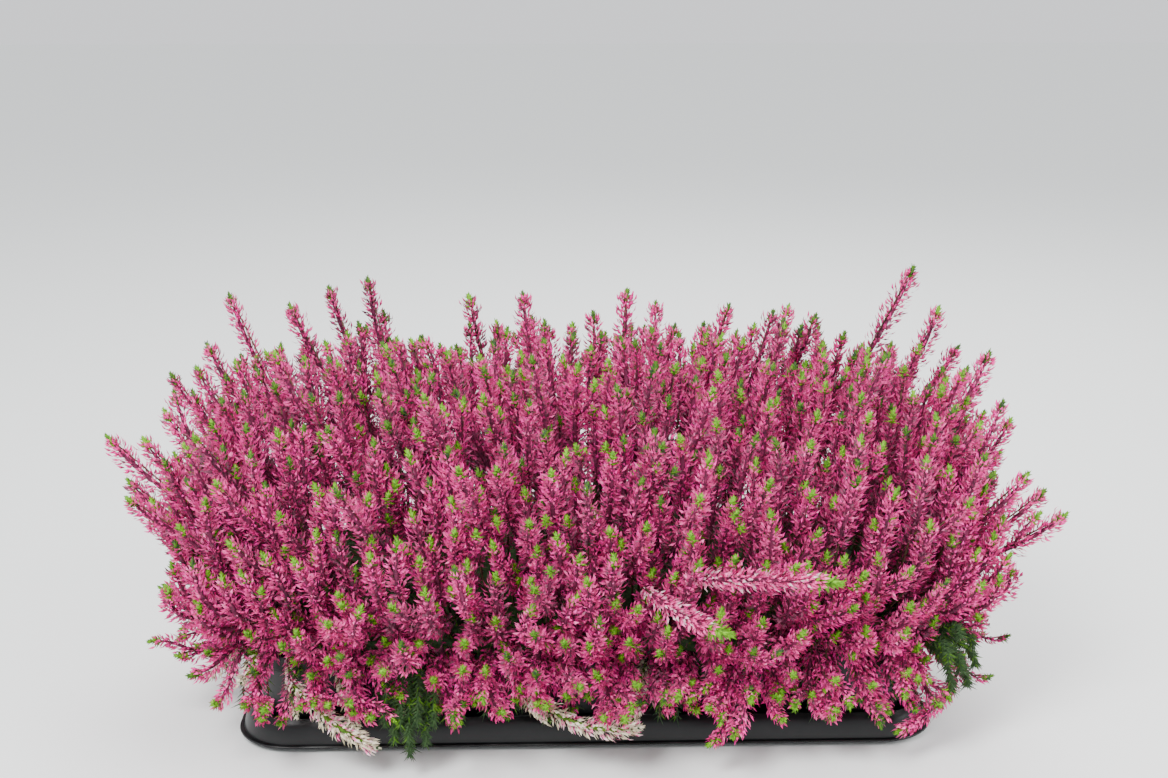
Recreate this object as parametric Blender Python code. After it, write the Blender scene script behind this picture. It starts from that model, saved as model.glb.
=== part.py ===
"""Heather in flower: ten potted plants standing together in one shallow black carrying tray.

The pots stand in two rows of five. Every plant has a woody stock in its soil with low leafy growth round it,
and two sprays of flowering shoots. The shoots follow one fan of curves that starts over the pots and ends on
a boxy dome, so no two of them cross. Metres, +Z up, the origin under the tray's middle, front towards -Y.
"""

import math

import bmesh
import bpy
import numpy as np
from mathutils import Vector

# Tray
TRAY_LENGTH = 0.560
TRAY_DEPTH = 0.225
TRAY_HEIGHT = 0.025
TRAY_CORNER = 0.045
TRAY_CORNER_STEPS = 4
TRAY_SKIN = 0.0014
DECK_TOP = 0.013
FLANGE_FOOT = 0.005
CUP_FLOOR = 0.0015
CUP_RADIUS_LOW = 0.0375
CUP_RADIUS_HIGH = 0.0405
DRAIN_RADIUS_TRAY = 0.014
CENTRE_FOOT_RADIUS = 0.0090

# Pots and soil
COLUMNS = 5
PITCH_X = 0.112
PITCH_Y = 0.1125
ROUND_SIDES = 10
SMALL_SIDES = 6
POT_FOOT = CUP_FLOOR + 0.0003
POT_TOP = 0.0818
POT_COLLAR = 0.0670
POT_RADIUS_LOW = 0.0370
POT_RADIUS_NECK = 0.0490
POT_RADIUS_COLLAR = 0.0515
POT_RADIUS_TOP = 0.0525
POT_WALL = 0.0012
DRAIN_RADIUS_POT = 0.006
SOIL_TOP = 0.0725
SOIL_MOUND = 0.0016
CLEARANCE = 0.0003
STOCK_RADIUS = 0.0055
STOCK_FOOT = 0.0600

# Low leafy growth
LEAF_DISC_TOP = 0.0947
LEAF_DISC_FOOT = 0.0845
LEAF_DISC_REACH = 0.040
LEAF_DISC_POINTS = 7
LEAF_SHOOT_RADIUS = 0.0034
LEAF_SHOOT_RINGS = ((0.022, 0.0885, 0.8), (0.0555, 0.0868, 0.9), (0.0590, 0.0735, 0.9))
LEAF_SHOOT_TIP = (0.0600, 0.0380)

# The fan of flowering shoots
SEED = 7
SHOOT_COUNT = 240
SKIRT_ROUNDS = 150
FILL_ROUNDS = 400
CANDIDATES = 10
FOOT_HALF = (0.262, 0.094)
FOOT_Z = 0.095
DOME_HALF = (0.358, 0.190)
DOME_Z = 0.150
DOME_RISE = 0.163
DOME_FALL = 0.098
DOME_TUCK = 0.12
DOME_SWEEP = math.radians(135)
SWEEP_POWER = 1.0
CROWDING = 0.30
BOX_POWER = 3.6
ROUND_POWER = 3.2
FIRST_PULL, FIRST_PULL_LOW, FIRST_RISE = 0.08, 0.34, 0.031
END_PULL, END_LEAN = 0.42, 0.43
GAP_BETWEEN_SPRAYS, GAP_IN_SPRAY = 0.0176, 0.0105
TIP_GAP = 0.0200
FLOWER_START = 0.38
REACH_MEAN, REACH_SPREAD, REACH_LEAST, REACH_MOST = 0.965, 0.055, 0.80, 1.05
LEAN_SPREAD = (0.012, 0.012, 0.004)
CELL_MARGIN = 0.0056
EDGE_MARGIN = 0.0050

# Shoots that stand out of the mass: where each one's tip is
TALL_TIPS = (
    (-0.295, 0.07, 0.330), (-0.242, 0.05, 0.325), (-0.213, 0.08, 0.333), (-0.178, 0.06, 0.345),
    (-0.095, 0.07, 0.328), (0.037, 0.05, 0.336), (0.121, 0.04, 0.325), (0.173, 0.08, 0.303),
    (0.195, 0.05, 0.314), (0.277, 0.06, 0.352), (0.293, 0.03, 0.324), (0.329, 0.00, 0.294),
)
SIDE_TIPS = (
    (0.342, -0.03, 0.246), (0.340, -0.06, 0.195), (0.336, -0.04, 0.104), (-0.339, 0.03, 0.272),
    (-0.335, -0.02, 0.256), (-0.374, -0.05, 0.244), (-0.338, -0.08, 0.188), (-0.344, -0.10, 0.134),
    (-0.314, -0.12, 0.082), (0.106, -0.18, 0.045), (0.237, -0.165, 0.046),
)

# One flowering shoot's solid: share of its curve and radius at each ring
SHOOT_SIDES = 3
SHOOT_RINGS = (
    (0.08, 0.0018), (0.43, 0.0076), (0.55, 0.0086), (0.66, 0.0050), (0.78, 0.0082), (0.90, 0.0062),
)

# The leafy core that a spray's shoots stand out of
CORE_TOP = 0.26
CORE_RIM = 0.17
CORE_STEPS = (2, 3, 1)
CORE_CLEARANCE = 0.0020
CORE_GAP = 0.0040
LOW_GAP = 0.0012

COLOURS = {
    "black_plastic": ((0.028, 0.029, 0.031), 0.38),
    "soil": ((0.050, 0.032, 0.020), 0.95),
    "leaf": ((0.060, 0.115, 0.035), 0.65),
    "flower": ((0.560, 0.090, 0.230), 0.60),
}


def clear_scene():
    for obj in list(bpy.data.objects):
        bpy.data.objects.remove(obj, do_unlink=True)


def material(name):
    found = bpy.data.materials.get(name)
    if found:
        return found
    colour, roughness = COLOURS[name]
    made = bpy.data.materials.new(name)
    made.use_nodes = True
    shader = made.node_tree.nodes["Principled BSDF"]
    shader.inputs["Base Color"].default_value = (*colour, 1.0)
    shader.inputs["Roughness"].default_value = roughness
    shader.inputs["Metallic"].default_value = 0.0
    return made


def new_object(name, points, faces, material_name, place=(0, 0, 0)):
    mesh = bpy.data.meshes.new(name)
    mesh.from_pydata([tuple(p) for p in points], [], faces)
    tidy = bmesh.new()
    tidy.from_mesh(mesh)
    bmesh.ops.recalc_face_normals(tidy, faces=tidy.faces)
    tidy.to_mesh(mesh)
    tidy.free()
    mesh.materials.append(material(material_name))
    obj = bpy.data.objects.new(name, mesh)
    obj.location = place
    bpy.context.scene.collection.objects.link(obj)
    return obj


def shade(obj, degrees):
    obj.data.shade_smooth()
    obj.data.set_sharp_from_angle(angle=math.radians(degrees))


def ring_faces(count, sides):
    """Faces of a closed body whose rings have equal numbers of points, with a flat cap at each end."""
    faces = [tuple(range(sides))[::-1]]
    for ring in range(count - 1):
        low, high = ring * sides, (ring + 1) * sides
        for i in range(sides):
            j = (i + 1) % sides
            faces.append((low + i, low + j, high + j, high + i))
    faces.append(tuple(range((count - 1) * sides, count * sides)))
    return faces


def turned(name, profile, sides, material_name, place):
    """A round solid from (radius, height) pairs."""
    points = []
    for radius, height in profile:
        for i in range(sides):
            angle = 2 * math.pi * i / sides
            points.append((radius * math.cos(angle), radius * math.sin(angle), height))
    return new_object(name, points, ring_faces(len(profile), sides), material_name, place)


def rounded_ring(inset, height):
    """A rounded rectangle this far inside the tray's outline."""
    half_x, half_y = TRAY_LENGTH / 2 - inset, TRAY_DEPTH / 2 - inset
    radius = TRAY_CORNER - inset
    points = []
    for quarter, (sign_x, sign_y) in enumerate(((1, 1), (-1, 1), (-1, -1), (1, -1))):
        centre_x, centre_y = sign_x * (half_x - radius), sign_y * (half_y - radius)
        for step in range(TRAY_CORNER_STEPS + 1):
            angle = math.pi / 2 * (quarter + step / TRAY_CORNER_STEPS)
            points.append((centre_x + radius * math.cos(angle), centre_y + radius * math.sin(angle), height))
    return points


def boolean(target, others, operation, solver="EXACT"):
    """Joins the others to the target, or cuts them out of it, and removes them."""
    group = bpy.data.collections.new("boolean_group")
    bpy.context.scene.collection.children.link(group)
    for other in others:
        for holder in list(other.users_collection):
            holder.objects.unlink(other)
        group.objects.link(other)
    modifier = target.modifiers.new("join", "BOOLEAN")
    modifier.operation = operation
    modifier.operand_type = "COLLECTION"
    modifier.collection = group
    modifier.solver = solver
    bpy.context.view_layer.update()
    evaluated = target.evaluated_get(bpy.context.evaluated_depsgraph_get())
    made = bpy.data.meshes.new_from_object(evaluated)
    target.modifiers.clear()
    old = target.data
    target.data = made
    bpy.data.meshes.remove(old)
    for other in others:
        bpy.data.objects.remove(other, do_unlink=True)
    bpy.data.collections.remove(group)
    return target


def pot_places():
    """(label, column, row side, x, y) of every pot: row side is -1 in front and 1 behind."""
    for side, row in ((-1, "front"), (1, "back")):
        for column in range(COLUMNS):
            x = (column - (COLUMNS - 1) / 2) * PITCH_X
            yield f"{row}_{column + 1}", column, side, x, side * PITCH_Y / 2


def make_tray():
    """A thin pressed sheet: an outer flange, a rounded shoulder, a rim, a sunk deck and a cup for every pot."""
    top, foot, skin = TRAY_HEIGHT, FLANGE_FOOT, TRAY_SKIN
    profile = (
        (0.0140, DECK_TOP), (0.0136, top - 0.0010), (0.0112, top), (0.0070, top - 0.0046),
        (0.0048, top - 0.0120), (0.0036, foot + skin), (0.0, foot + skin), (0.0, foot), (0.0050, foot),
        (0.0063, top - 0.0124), (0.0082, top - 0.0058), (0.0113, top - skin), (0.0124, DECK_TOP - skin),
    )
    points = [p for inset, height in profile for p in rounded_ring(inset, height)]
    sides = 4 * (TRAY_CORNER_STEPS + 1)
    tray = new_object("tray", points, ring_faces(len(profile), sides), "black_plastic")
    wells = [(x, y, CUP_RADIUS_LOW, CUP_RADIUS_HIGH, ROUND_SIDES) for _, _, _, x, y in pot_places()]
    wells.append((0, 0, CENTRE_FOOT_RADIUS, CENTRE_FOOT_RADIUS + 0.002, 2 * SMALL_SIDES))
    cups, hollows, drains = [], [], []
    for x, y, low, high, sides in wells:
        outer = ((low + 0.0010, 0.0), (high + 0.0010, DECK_TOP - skin / 2))
        inner = ((low, CUP_FLOOR), (high, DECK_TOP + 0.0001))
        cups.append(turned("cup", outer, sides, "black_plastic", (x, y, 0)))
        hollows.append(turned("hollow", inner, sides, "black_plastic", (x, y, 0)))
        if low == CUP_RADIUS_LOW:
            drain = ((DRAIN_RADIUS_TRAY, -0.01), (DRAIN_RADIUS_TRAY, DECK_TOP))
            drains.append(turned("drain", drain, SMALL_SIDES, "black_plastic", (x, y, 0)))
    boolean(tray, cups, "UNION")
    boolean(tray, hollows, "DIFFERENCE")
    boolean(tray, drains, "DIFFERENCE")
    shade(tray, 40)


def make_pot(label, x, y):
    wall = POT_WALL
    profile = (
        (POT_RADIUS_LOW, POT_FOOT), (POT_RADIUS_NECK, POT_COLLAR), (POT_RADIUS_COLLAR, POT_COLLAR),
        (POT_RADIUS_TOP, POT_TOP), (POT_RADIUS_TOP - wall, POT_TOP),
        (POT_RADIUS_NECK - wall, POT_COLLAR), (POT_RADIUS_LOW - wall, POT_FOOT + CUP_FLOOR),
    )
    pot = turned(f"pot_{label}", profile, ROUND_SIDES, "black_plastic", (x, y, 0))
    drain = ((DRAIN_RADIUS_POT, -0.01), (DRAIN_RADIUS_POT, POT_FOOT + 0.01))
    boolean(pot, [turned("drain", drain, SMALL_SIDES, "black_plastic", (x, y, 0))], "DIFFERENCE")
    shade(pot, 35)


def make_soil(label, x, y):
    """The root ball, slightly mounded, with a plain hole for the stock."""
    rise = (SOIL_TOP - POT_COLLAR) / (POT_TOP - POT_COLLAR)
    neck = POT_RADIUS_NECK - POT_WALL - CLEARANCE
    edge = neck + rise * (POT_RADIUS_TOP - POT_RADIUS_NECK)
    low = POT_RADIUS_LOW - POT_WALL - CLEARANCE
    profile = (
        (low, POT_FOOT + CUP_FLOOR + CLEARANCE), (neck, POT_COLLAR), (edge, SOIL_TOP),
        (0.6 * edge, SOIL_TOP + SOIL_MOUND),
    )
    soil = turned(f"soil_{label}", profile, ROUND_SIDES, "soil", (x, y, 0))
    radius = STOCK_RADIUS + 2 * CLEARANCE
    hole = ((radius, STOCK_FOOT - CLEARANCE), (radius, POT_TOP))
    boolean(soil, [turned("hole", hole, SMALL_SIDES, "soil", (x, y, 0))], "DIFFERENCE")
    shade(soil, 35)


def spiked_column(name, line, radii, tip, sides, material_name, turn=0.0):
    """A column whose rings are small polygons, each turned half a side from the last, so that its corners stand
    out all round like florets or leaves. It ends in a point."""
    line = [Vector(p) for p in line]
    tip = Vector(tip)
    ahead = line[1:] + [tip]
    first = (ahead[0] - line[0]).normalized()
    across = first.orthogonal().normalized()
    points = []
    for k, (centre, radius) in enumerate(zip(line, radii)):
        along = (ahead[k] - line[k]).normalized()
        across = (across - across.dot(along) * along).normalized()
        other = along.cross(across)
        start = turn + (k % 2) * math.pi / sides
        for i in range(sides):
            angle = start + 2 * math.pi * i / sides
            points.append(centre + radius * (math.cos(angle) * across + math.sin(angle) * other))
    count = len(line)
    faces = [tuple(range(sides))[::-1]]
    for ring in range(count - 1):
        low, high = ring * sides, (ring + 1) * sides
        for i in range(sides):
            j = (i + 1) % sides
            shift = i if ring % 2 == 0 else j
            faces.append((low + i, low + j, high + shift))
            before, after = (high + (i - 1) % sides, high + i) if ring % 2 == 0 else (high + i, high + j)
            faces.append((low + i, after, before))
    points.append(tip)
    last = (count - 1) * sides
    for i in range(sides):
        faces.append((last + i, last + (i + 1) % sides, len(points) - 1))
    return new_object(name, points, faces, material_name)


def outward_angles(column, side):
    """Directions in which a plant's low shoots can droop past its pot, away from its neighbours."""
    middle = side * math.pi / 2
    if column == 0:
        return [middle, math.pi]
    return [middle, 0.0] if column == COLUMNS - 1 else [middle]


def make_leafy_base(label, column, side, x, y):
    """The woody stock in the soil, with a star of low leafy growth over the pot and shoots that droop past it."""
    middle = (LEAF_DISC_TOP + LEAF_DISC_FOOT) / 2
    points, sides = [], 2 * LEAF_DISC_POINTS
    for height, leaf, valley in ((LEAF_DISC_FOOT, 0.35, 0.35), (middle, 1.0, 0.62), (LEAF_DISC_TOP, 0.62, 0.45)):
        for i in range(sides):
            angle = 2 * math.pi * i / sides
            radius = LEAF_DISC_REACH * (valley if i % 2 else leaf)
            points.append((radius * math.cos(angle), radius * math.sin(angle), height))
    base = new_object(f"leafy_base_{label}", points, ring_faces(3, sides), "leaf", (x, y, 0))
    stock = ((STOCK_RADIUS, STOCK_FOOT), (STOCK_RADIUS * 0.9, middle))
    parts = [turned("stock", stock, SMALL_SIDES, "leaf", (x, y, 0))]
    for number, angle in enumerate(outward_angles(column, side)):
        def at(distance, height):
            return Vector((distance * math.cos(angle), distance * math.sin(angle), height))
        line = [at(distance, height) for distance, height, _ in LEAF_SHOOT_RINGS]
        radii = [LEAF_SHOOT_RADIUS * share for _, _, share in LEAF_SHOOT_RINGS]
        shoot = spiked_column("shoot", line, radii, at(*LEAF_SHOOT_TIP), SHOOT_SIDES, "leaf", turn=number)
        shoot.location = (x, y, 0)
        parts.append(shoot)
    boolean(base, parts, "UNION", "MANIFOLD")
    shade(base, 30)


def foot_point(u, v):
    return np.array([FOOT_HALF[0] * u, FOOT_HALF[1] * v, FOOT_Z])


def dome_place(u, v):
    """Where the shoot that starts at (u, v) of the foot rectangle, each from -1 to 1, meets the dome, and how far
    round the dome that is from the top."""
    u *= 1 - CROWDING + CROWDING * u * u
    a, b = u * math.sqrt(1 - v * v / 2), v * math.sqrt(1 - u * u / 2)
    from_middle = max(math.hypot(a, b), 1e-6)
    angle = DOME_SWEEP * from_middle**SWEEP_POWER
    below = max(angle - math.pi / 2, 0) / (DOME_SWEEP - math.pi / 2)
    spread, z = math.sin(min(angle, math.pi / 2)) / from_middle, max(math.cos(angle), 0)
    x, y = a * spread, b * spread
    long_way = (abs(x) ** BOX_POWER + z**BOX_POWER) ** (1 / BOX_POWER)
    size = (long_way**ROUND_POWER + abs(y) ** ROUND_POWER) ** (1 / ROUND_POWER) / (1 - DOME_TUCK * below)
    height = DOME_Z + DOME_RISE * z / size - DOME_FALL * below
    return np.array([DOME_HALF[0] * x / size, DOME_HALF[1] * y / size, height]), angle


def fan_line(u, v, shares):
    """Points on one curve of the fan: it rises from its foot, leans out, and turns up towards its end."""
    start = foot_point(u, v)
    end, angle = dome_place(u, v)
    across = end - start
    first = start + (FIRST_PULL + FIRST_PULL_LOW * (angle / DOME_SWEEP) ** 2) * across
    first[2] = FOOT_Z + FIRST_RISE
    out = np.array([across[0], across[1], 0]) / max(math.hypot(across[0], across[1]), 1e-6)
    steep = math.pi / 2 - END_LEAN * angle
    end_way = math.cos(steep) * out + math.sin(steep) * np.array([0, 0, 1])
    second = end - END_PULL * np.linalg.norm(across) * end_way
    t = np.asarray(shares, float)[:, None]
    return (1 - t) ** 3 * start + 3 * t * (1 - t) ** 2 * first + 3 * t * t * (1 - t) * second + t**3 * end


def shoot_line(u, v, tip, shares):
    """A shoot follows the fan from its foot and leaves it only towards its tip, so roots never cross."""
    away = tip - dome_place(u, v)[0]
    return fan_line(u, v, shares) + away * np.asarray(shares, float)[:, None] ** 3


def spray_of(u, v):
    """(column, half, row side) of the spray that a foot belongs to."""
    place = min(max((u + 1) / 2 * 2 * COLUMNS, 0), 2 * COLUMNS - 1e-6)
    return int(place) // 2, int(place) % 2, (-1 if v < 0 else 1)


def inside_spray(u, v):
    """The same foot drawn in from the edges of its spray's share, so that its root stays in that spray's core."""
    column, half, side = spray_of(u, v)
    width = 1 / COLUMNS
    middle = -1 + (2 * column + half + 0.5) * width
    u = middle + (u - middle) * (1 - 2 * CELL_MARGIN / FOOT_HALF[0] / width)
    low, high = CELL_MARGIN / FOOT_HALF[1], 1 - EDGE_MARGIN / FOOT_HALF[1]
    return u, side * (low + abs(v) * (high - low))


def foot_of(tip):
    """The foot whose own place on the dome is nearest to this tip."""
    grid = np.linspace(-0.97, 0.97, 60)
    _, u, v = min((float(np.sum((dome_place(u, v)[0] - tip) ** 2)), u, v) for u in grid for v in grid)
    return inside_spray(u, v)


def core_tops():
    """(spray, points over the top of its core) for every spray."""
    tops = []
    for _, column, side, _, _ in pot_places():
        for half in (0, 1):
            low = -1 + (2 * column + half) / COLUMNS
            us, vs = low + np.linspace(0.01, 1 / COLUMNS - 0.01, 5), side * np.linspace(0.02, 1, 9)
            tops.append(((column, half, side), np.vstack([fan_line(u, v, [CORE_RIM]) for u in us for v in vs])))
    return tops


def drawn_shoot(draw, on_edge):
    """A random shoot: its foot anywhere, or along the edge of the foot rectangle, and its tip near the dome."""
    u, v = draw.uniform(-1, 1, 2)
    if on_edge:
        along = draw.uniform(-1, 1) * (FOOT_HALF[0] + FOOT_HALF[1])
        if abs(along) < FOOT_HALF[0]:
            u, v = along / FOOT_HALF[0], math.copysign(1, v)
        else:
            u, v = math.copysign(1, along), v
    u, v = inside_spray(u, v)
    reach = float(np.clip(draw.normal(REACH_MEAN, REACH_SPREAD), REACH_LEAST, REACH_MOST))
    start = foot_point(u, v)
    return u, v, start + (dome_place(u, v)[0] - start) * reach + draw.normal(0, 1, 3) * np.array(LEAN_SPREAD)


def low_growth():
    """Points along all the low leafy shoots."""
    found = []
    distances, heights = zip(*[ring[:2] for ring in LEAF_SHOOT_RINGS], LEAF_SHOOT_TIP)
    for _, column, side, x, y in pot_places():
        for angle in outward_angles(column, side):
            for stop in np.linspace(0.8, len(distances) - 1, 16):
                distance = np.interp(stop, range(len(distances)), distances)
                height = np.interp(stop, range(len(heights)), heights)
                found.append((x + distance * math.cos(angle), y + distance * math.sin(angle), height))
    return np.array(found)


def place_shoots():
    """(u, v, tip) of every shoot: first the tall and outer ones, then a skirt round the edge, then the rest.
    Each of these is the seeded draw that stands farthest from the tips already placed."""
    draw = np.random.default_rng(SEED)
    shares = np.linspace(FLOWER_START, 1.0, 16)
    low_shares = np.linspace(CORE_RIM, SHOOT_RINGS[1][0], 9)
    low_radii = np.interp(low_shares, *zip(*SHOOT_RINGS))[:, None]
    whole_shares = np.linspace(CORE_RIM, 1.0, 24)
    whole_radii = np.interp(whole_shares, *zip(*SHOOT_RINGS, (1.0, 0.0)))[:, None]
    tops, leafy = core_tops(), low_growth()
    middles = np.array([(x, y) for _, _, _, x, y in pot_places()])
    shoots, lines, sprays = [], np.empty((0, len(shares), 3)), np.empty((0, 3))

    def clear(u, v, tip):
        line = shoot_line(u, v, tip, shares)
        if len(lines):
            if (np.linalg.norm(lines[:, -1] - line[-1], axis=1) < TIP_GAP).any():
                return False
            near = np.linalg.norm(lines[:, 8] - line[8], axis=1) < 0.12
            apart = np.linalg.norm(lines[near][:, :, None] - line[None, None], axis=3).min(axis=(1, 2), initial=1)
            same = (sprays[near] == spray_of(u, v)).all(axis=1)
            if (apart < np.where(same, GAP_IN_SPRAY, GAP_BETWEEN_SPRAYS)).any():
                return False
        whole = shoot_line(u, v, tip, whole_shares)
        apart = np.linalg.norm(whole[:, None] - leafy[None], axis=2)
        if (apart < whole_radii + LEAF_SHOOT_RADIUS + LOW_GAP).any():
            return False
        from_middles = np.linalg.norm(whole[:, None, :2] - middles[None], axis=2)
        for reach, top in ((POT_RADIUS_TOP, POT_TOP), (LEAF_DISC_REACH, LEAF_DISC_TOP)):
            over = (from_middles < reach + whole_radii + LOW_GAP).any(axis=1)
            if (over & (whole[:, 2] - whole_radii[:, 0] < top + LOW_GAP)).any():
                return False
        low = shoot_line(u, v, tip, low_shares)
        others = np.vstack([points for spray, points in tops if spray != spray_of(u, v)])
        return not (np.linalg.norm(low[:, None] - others[None], axis=2) < low_radii + CORE_GAP).any()

    wanted = [(*foot_of(np.array(tip)), np.array(tip)) for tip in TALL_TIPS + SIDE_TIPS]
    for number in range(-len(wanted), SKIRT_ROUNDS + FILL_ROUNDS):
        if number < 0:
            choices = [wanted[number]]
        else:
            choices = [drawn_shoot(draw, number < SKIRT_ROUNDS) for _ in range(CANDIDATES)]
        choices = [choice for choice in choices if clear(*choice)]
        if choices and len(shoots) < SHOOT_COUNT:
            tips = lines[:, -1] if len(lines) else np.full((1, 3), 9.0)
            best = max(choices, key=lambda choice: np.linalg.norm(tips - choice[2], axis=1).min())
            shoots.append(best)
            lines = np.vstack([lines, shoot_line(*best, shares)[None]])
            sprays = np.vstack([sprays, [spray_of(*best[:2])]])
    return shoots


def core_solid(name, column, half, side):
    """The bushy middle of one spray: a mound that fills the low part of its share of the fan."""
    width = 1 / COLUMNS
    gap_u, gap_v = CORE_CLEARANCE / FOOT_HALF[0], CORE_CLEARANCE / FOOT_HALF[1]
    low = -1 + (2 * column + half) * width
    us = np.linspace(low + gap_u, low + width - gap_u, CORE_STEPS[0] + 1)
    vs = side * np.linspace(gap_v, 1, CORE_STEPS[1] + 1)
    ts = (0, CORE_TOP)
    index, points, faces = {}, [], []

    def corner(i, j, k):
        if (i, j, k) not in index:
            u, v, t = us[i], vs[j], ts[k]
            if k and (i in (0, CORE_STEPS[0]) or j in (0, CORE_STEPS[1])):
                t = CORE_RIM
            index[i, j, k] = len(points)
            points.append(fan_line(u, v, [t])[0])
        return index[i, j, k]

    most = [len(us) - 1, len(vs) - 1, len(ts) - 1]
    for axis in range(3):
        one, two = (axis + 1) % 3, (axis + 2) % 3
        for end in (0, most[axis]):
            for a in range(most[one]):
                for b in range(most[two]):
                    square = []
                    for step_a, step_b in ((0, 0), (1, 0), (1, 1), (0, 1)):
                        spot = [0, 0, 0]
                        spot[axis], spot[one], spot[two] = end, a + step_a, b + step_b
                        square.append(corner(*spot))
                    faces.append((square[0], square[1], square[2]))
                    faces.append((square[0], square[2], square[3]))
    return new_object(name, points, faces, "flower")


def make_sprays():
    """Two sprays for every plant: each a core with its flowering shoots fused to it."""
    members = {}
    for number, (u, v, tip) in enumerate(place_shoots()):
        line = shoot_line(u, v, tip, [share for share, _ in SHOOT_RINGS])
        radii = [radius for _, radius in SHOOT_RINGS]
        shoot = spiked_column("shoot", line, radii, tip, SHOOT_SIDES, "flower", turn=number)
        members.setdefault(spray_of(u, v), []).append(shoot)
    for label, column, side, _, _ in pot_places():
        for half, hand in enumerate(("left", "right")):
            core = core_solid(f"flower_spray_{label}_{hand}", column, half, side)
            boolean(core, members[column, half, side], "UNION", "MANIFOLD")
            shade(core, 30)


def main():
    clear_scene()
    make_tray()
    for label, column, side, x, y in pot_places():
        make_pot(label, x, y)
        make_soil(label, x, y)
        make_leafy_base(label, column, side, x, y)
    make_sprays()


main()
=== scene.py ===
"""Looks of the potted heather: fine flower spikes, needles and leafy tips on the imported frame.

Every main shoot stands on the same curve as in the CAD part. Its rough column becomes a stem with some hundreds
of small pointed florets, a tuft of leaves at its tip and short side spikes.
"""

import math

import bmesh
import bpy
import numpy as np
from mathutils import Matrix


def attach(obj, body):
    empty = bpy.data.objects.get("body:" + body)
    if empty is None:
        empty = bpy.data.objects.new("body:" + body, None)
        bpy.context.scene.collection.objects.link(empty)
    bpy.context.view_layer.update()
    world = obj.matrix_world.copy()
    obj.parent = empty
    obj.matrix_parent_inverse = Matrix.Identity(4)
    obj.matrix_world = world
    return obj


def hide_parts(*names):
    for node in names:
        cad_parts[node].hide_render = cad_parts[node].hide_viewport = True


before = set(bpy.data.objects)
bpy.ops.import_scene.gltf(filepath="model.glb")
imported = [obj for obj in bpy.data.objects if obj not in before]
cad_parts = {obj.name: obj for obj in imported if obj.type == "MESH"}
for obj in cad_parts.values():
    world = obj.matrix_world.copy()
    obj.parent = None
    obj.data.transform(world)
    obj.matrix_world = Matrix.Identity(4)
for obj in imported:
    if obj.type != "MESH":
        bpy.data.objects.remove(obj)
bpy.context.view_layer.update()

# Tray
TRAY_LENGTH = 0.560
TRAY_DEPTH = 0.225
TRAY_HEIGHT = 0.025
TRAY_CORNER = 0.045
TRAY_SKIN = 0.0014
DECK_TOP = 0.013
FLANGE_FOOT = 0.005
CUP_FLOOR = 0.0015
CUP_RADIUS_LOW = 0.0375
CUP_RADIUS_HIGH = 0.0405
DRAIN_RADIUS_TRAY = 0.014
CENTRE_FOOT_RADIUS = 0.0090

# Pots and soil
COLUMNS = 5
PITCH_X = 0.112
PITCH_Y = 0.1125
POT_FOOT = CUP_FLOOR + 0.0003
POT_TOP = 0.0818
POT_COLLAR = 0.0670
POT_RADIUS_LOW = 0.0370
POT_RADIUS_NECK = 0.0490
POT_RADIUS_COLLAR = 0.0515
POT_RADIUS_TOP = 0.0525
POT_WALL = 0.0012
DRAIN_RADIUS_POT = 0.006
SOIL_TOP = 0.0725
STOCK_FOOT = 0.0600

# Low leafy growth
LEAF_DISC_TOP = 0.0947
LEAF_DISC_FOOT = 0.0845
LEAF_DISC_REACH = 0.040
LEAF_SHOOT_RADIUS = 0.0034
LEAF_SHOOT_RINGS = ((0.022, 0.0885, 0.8), (0.0555, 0.0868, 0.9), (0.0590, 0.0735, 0.9))
LEAF_SHOOT_TIP = (0.0600, 0.0380)

# The fan of flowering shoots
SEED = 7
SHOOT_COUNT = 240
SKIRT_ROUNDS = 150
FILL_ROUNDS = 400
CANDIDATES = 10
FOOT_HALF = (0.262, 0.094)
FOOT_Z = 0.095
DOME_HALF = (0.358, 0.190)
DOME_Z = 0.150
DOME_RISE = 0.163
DOME_FALL = 0.098
DOME_TUCK = 0.12
DOME_SWEEP = math.radians(135)
CROWDING = 0.30
BOX_POWER = 3.6
ROUND_POWER = 3.2
FIRST_PULL, FIRST_PULL_LOW, FIRST_RISE = 0.08, 0.34, 0.031
END_PULL, END_LEAN = 0.42, 0.43
GAP_BETWEEN_SPRAYS, GAP_IN_SPRAY = 0.0176, 0.0105
TIP_GAP = 0.0200
FLOWER_START = 0.38
REACH_MEAN, REACH_SPREAD, REACH_LEAST, REACH_MOST = 0.965, 0.055, 0.80, 1.05
LEAN_SPREAD = (0.012, 0.012, 0.004)
CELL_MARGIN = 0.0056
EDGE_MARGIN = 0.0050

# Shoots that stand out of the mass: where each one's tip is
TALL_TIPS = (
    (-0.295, 0.07, 0.330), (-0.242, 0.05, 0.325), (-0.213, 0.08, 0.333), (-0.178, 0.06, 0.345),
    (-0.095, 0.07, 0.328), (0.037, 0.05, 0.336), (0.121, 0.04, 0.325), (0.173, 0.08, 0.303),
    (0.195, 0.05, 0.314), (0.277, 0.06, 0.352), (0.293, 0.03, 0.324), (0.329, 0.00, 0.294),
)
SIDE_TIPS = (
    (0.342, -0.03, 0.246), (0.340, -0.06, 0.195), (0.336, -0.04, 0.104), (-0.339, 0.03, 0.272),
    (-0.335, -0.02, 0.256), (-0.374, -0.05, 0.244), (-0.338, -0.08, 0.188), (-0.344, -0.10, 0.134),
    (-0.314, -0.12, 0.082), (0.106, -0.18, 0.045), (0.237, -0.165, 0.046),
)

# One flowering shoot's solid: share of its curve and radius at each ring
SHOOT_RINGS = (
    (0.08, 0.0018), (0.43, 0.0076), (0.55, 0.0086), (0.66, 0.0050), (0.78, 0.0082), (0.90, 0.0062),
)

CORE_RIM = 0.17
CORE_GAP = 0.0040
LOW_GAP = 0.0012


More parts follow.
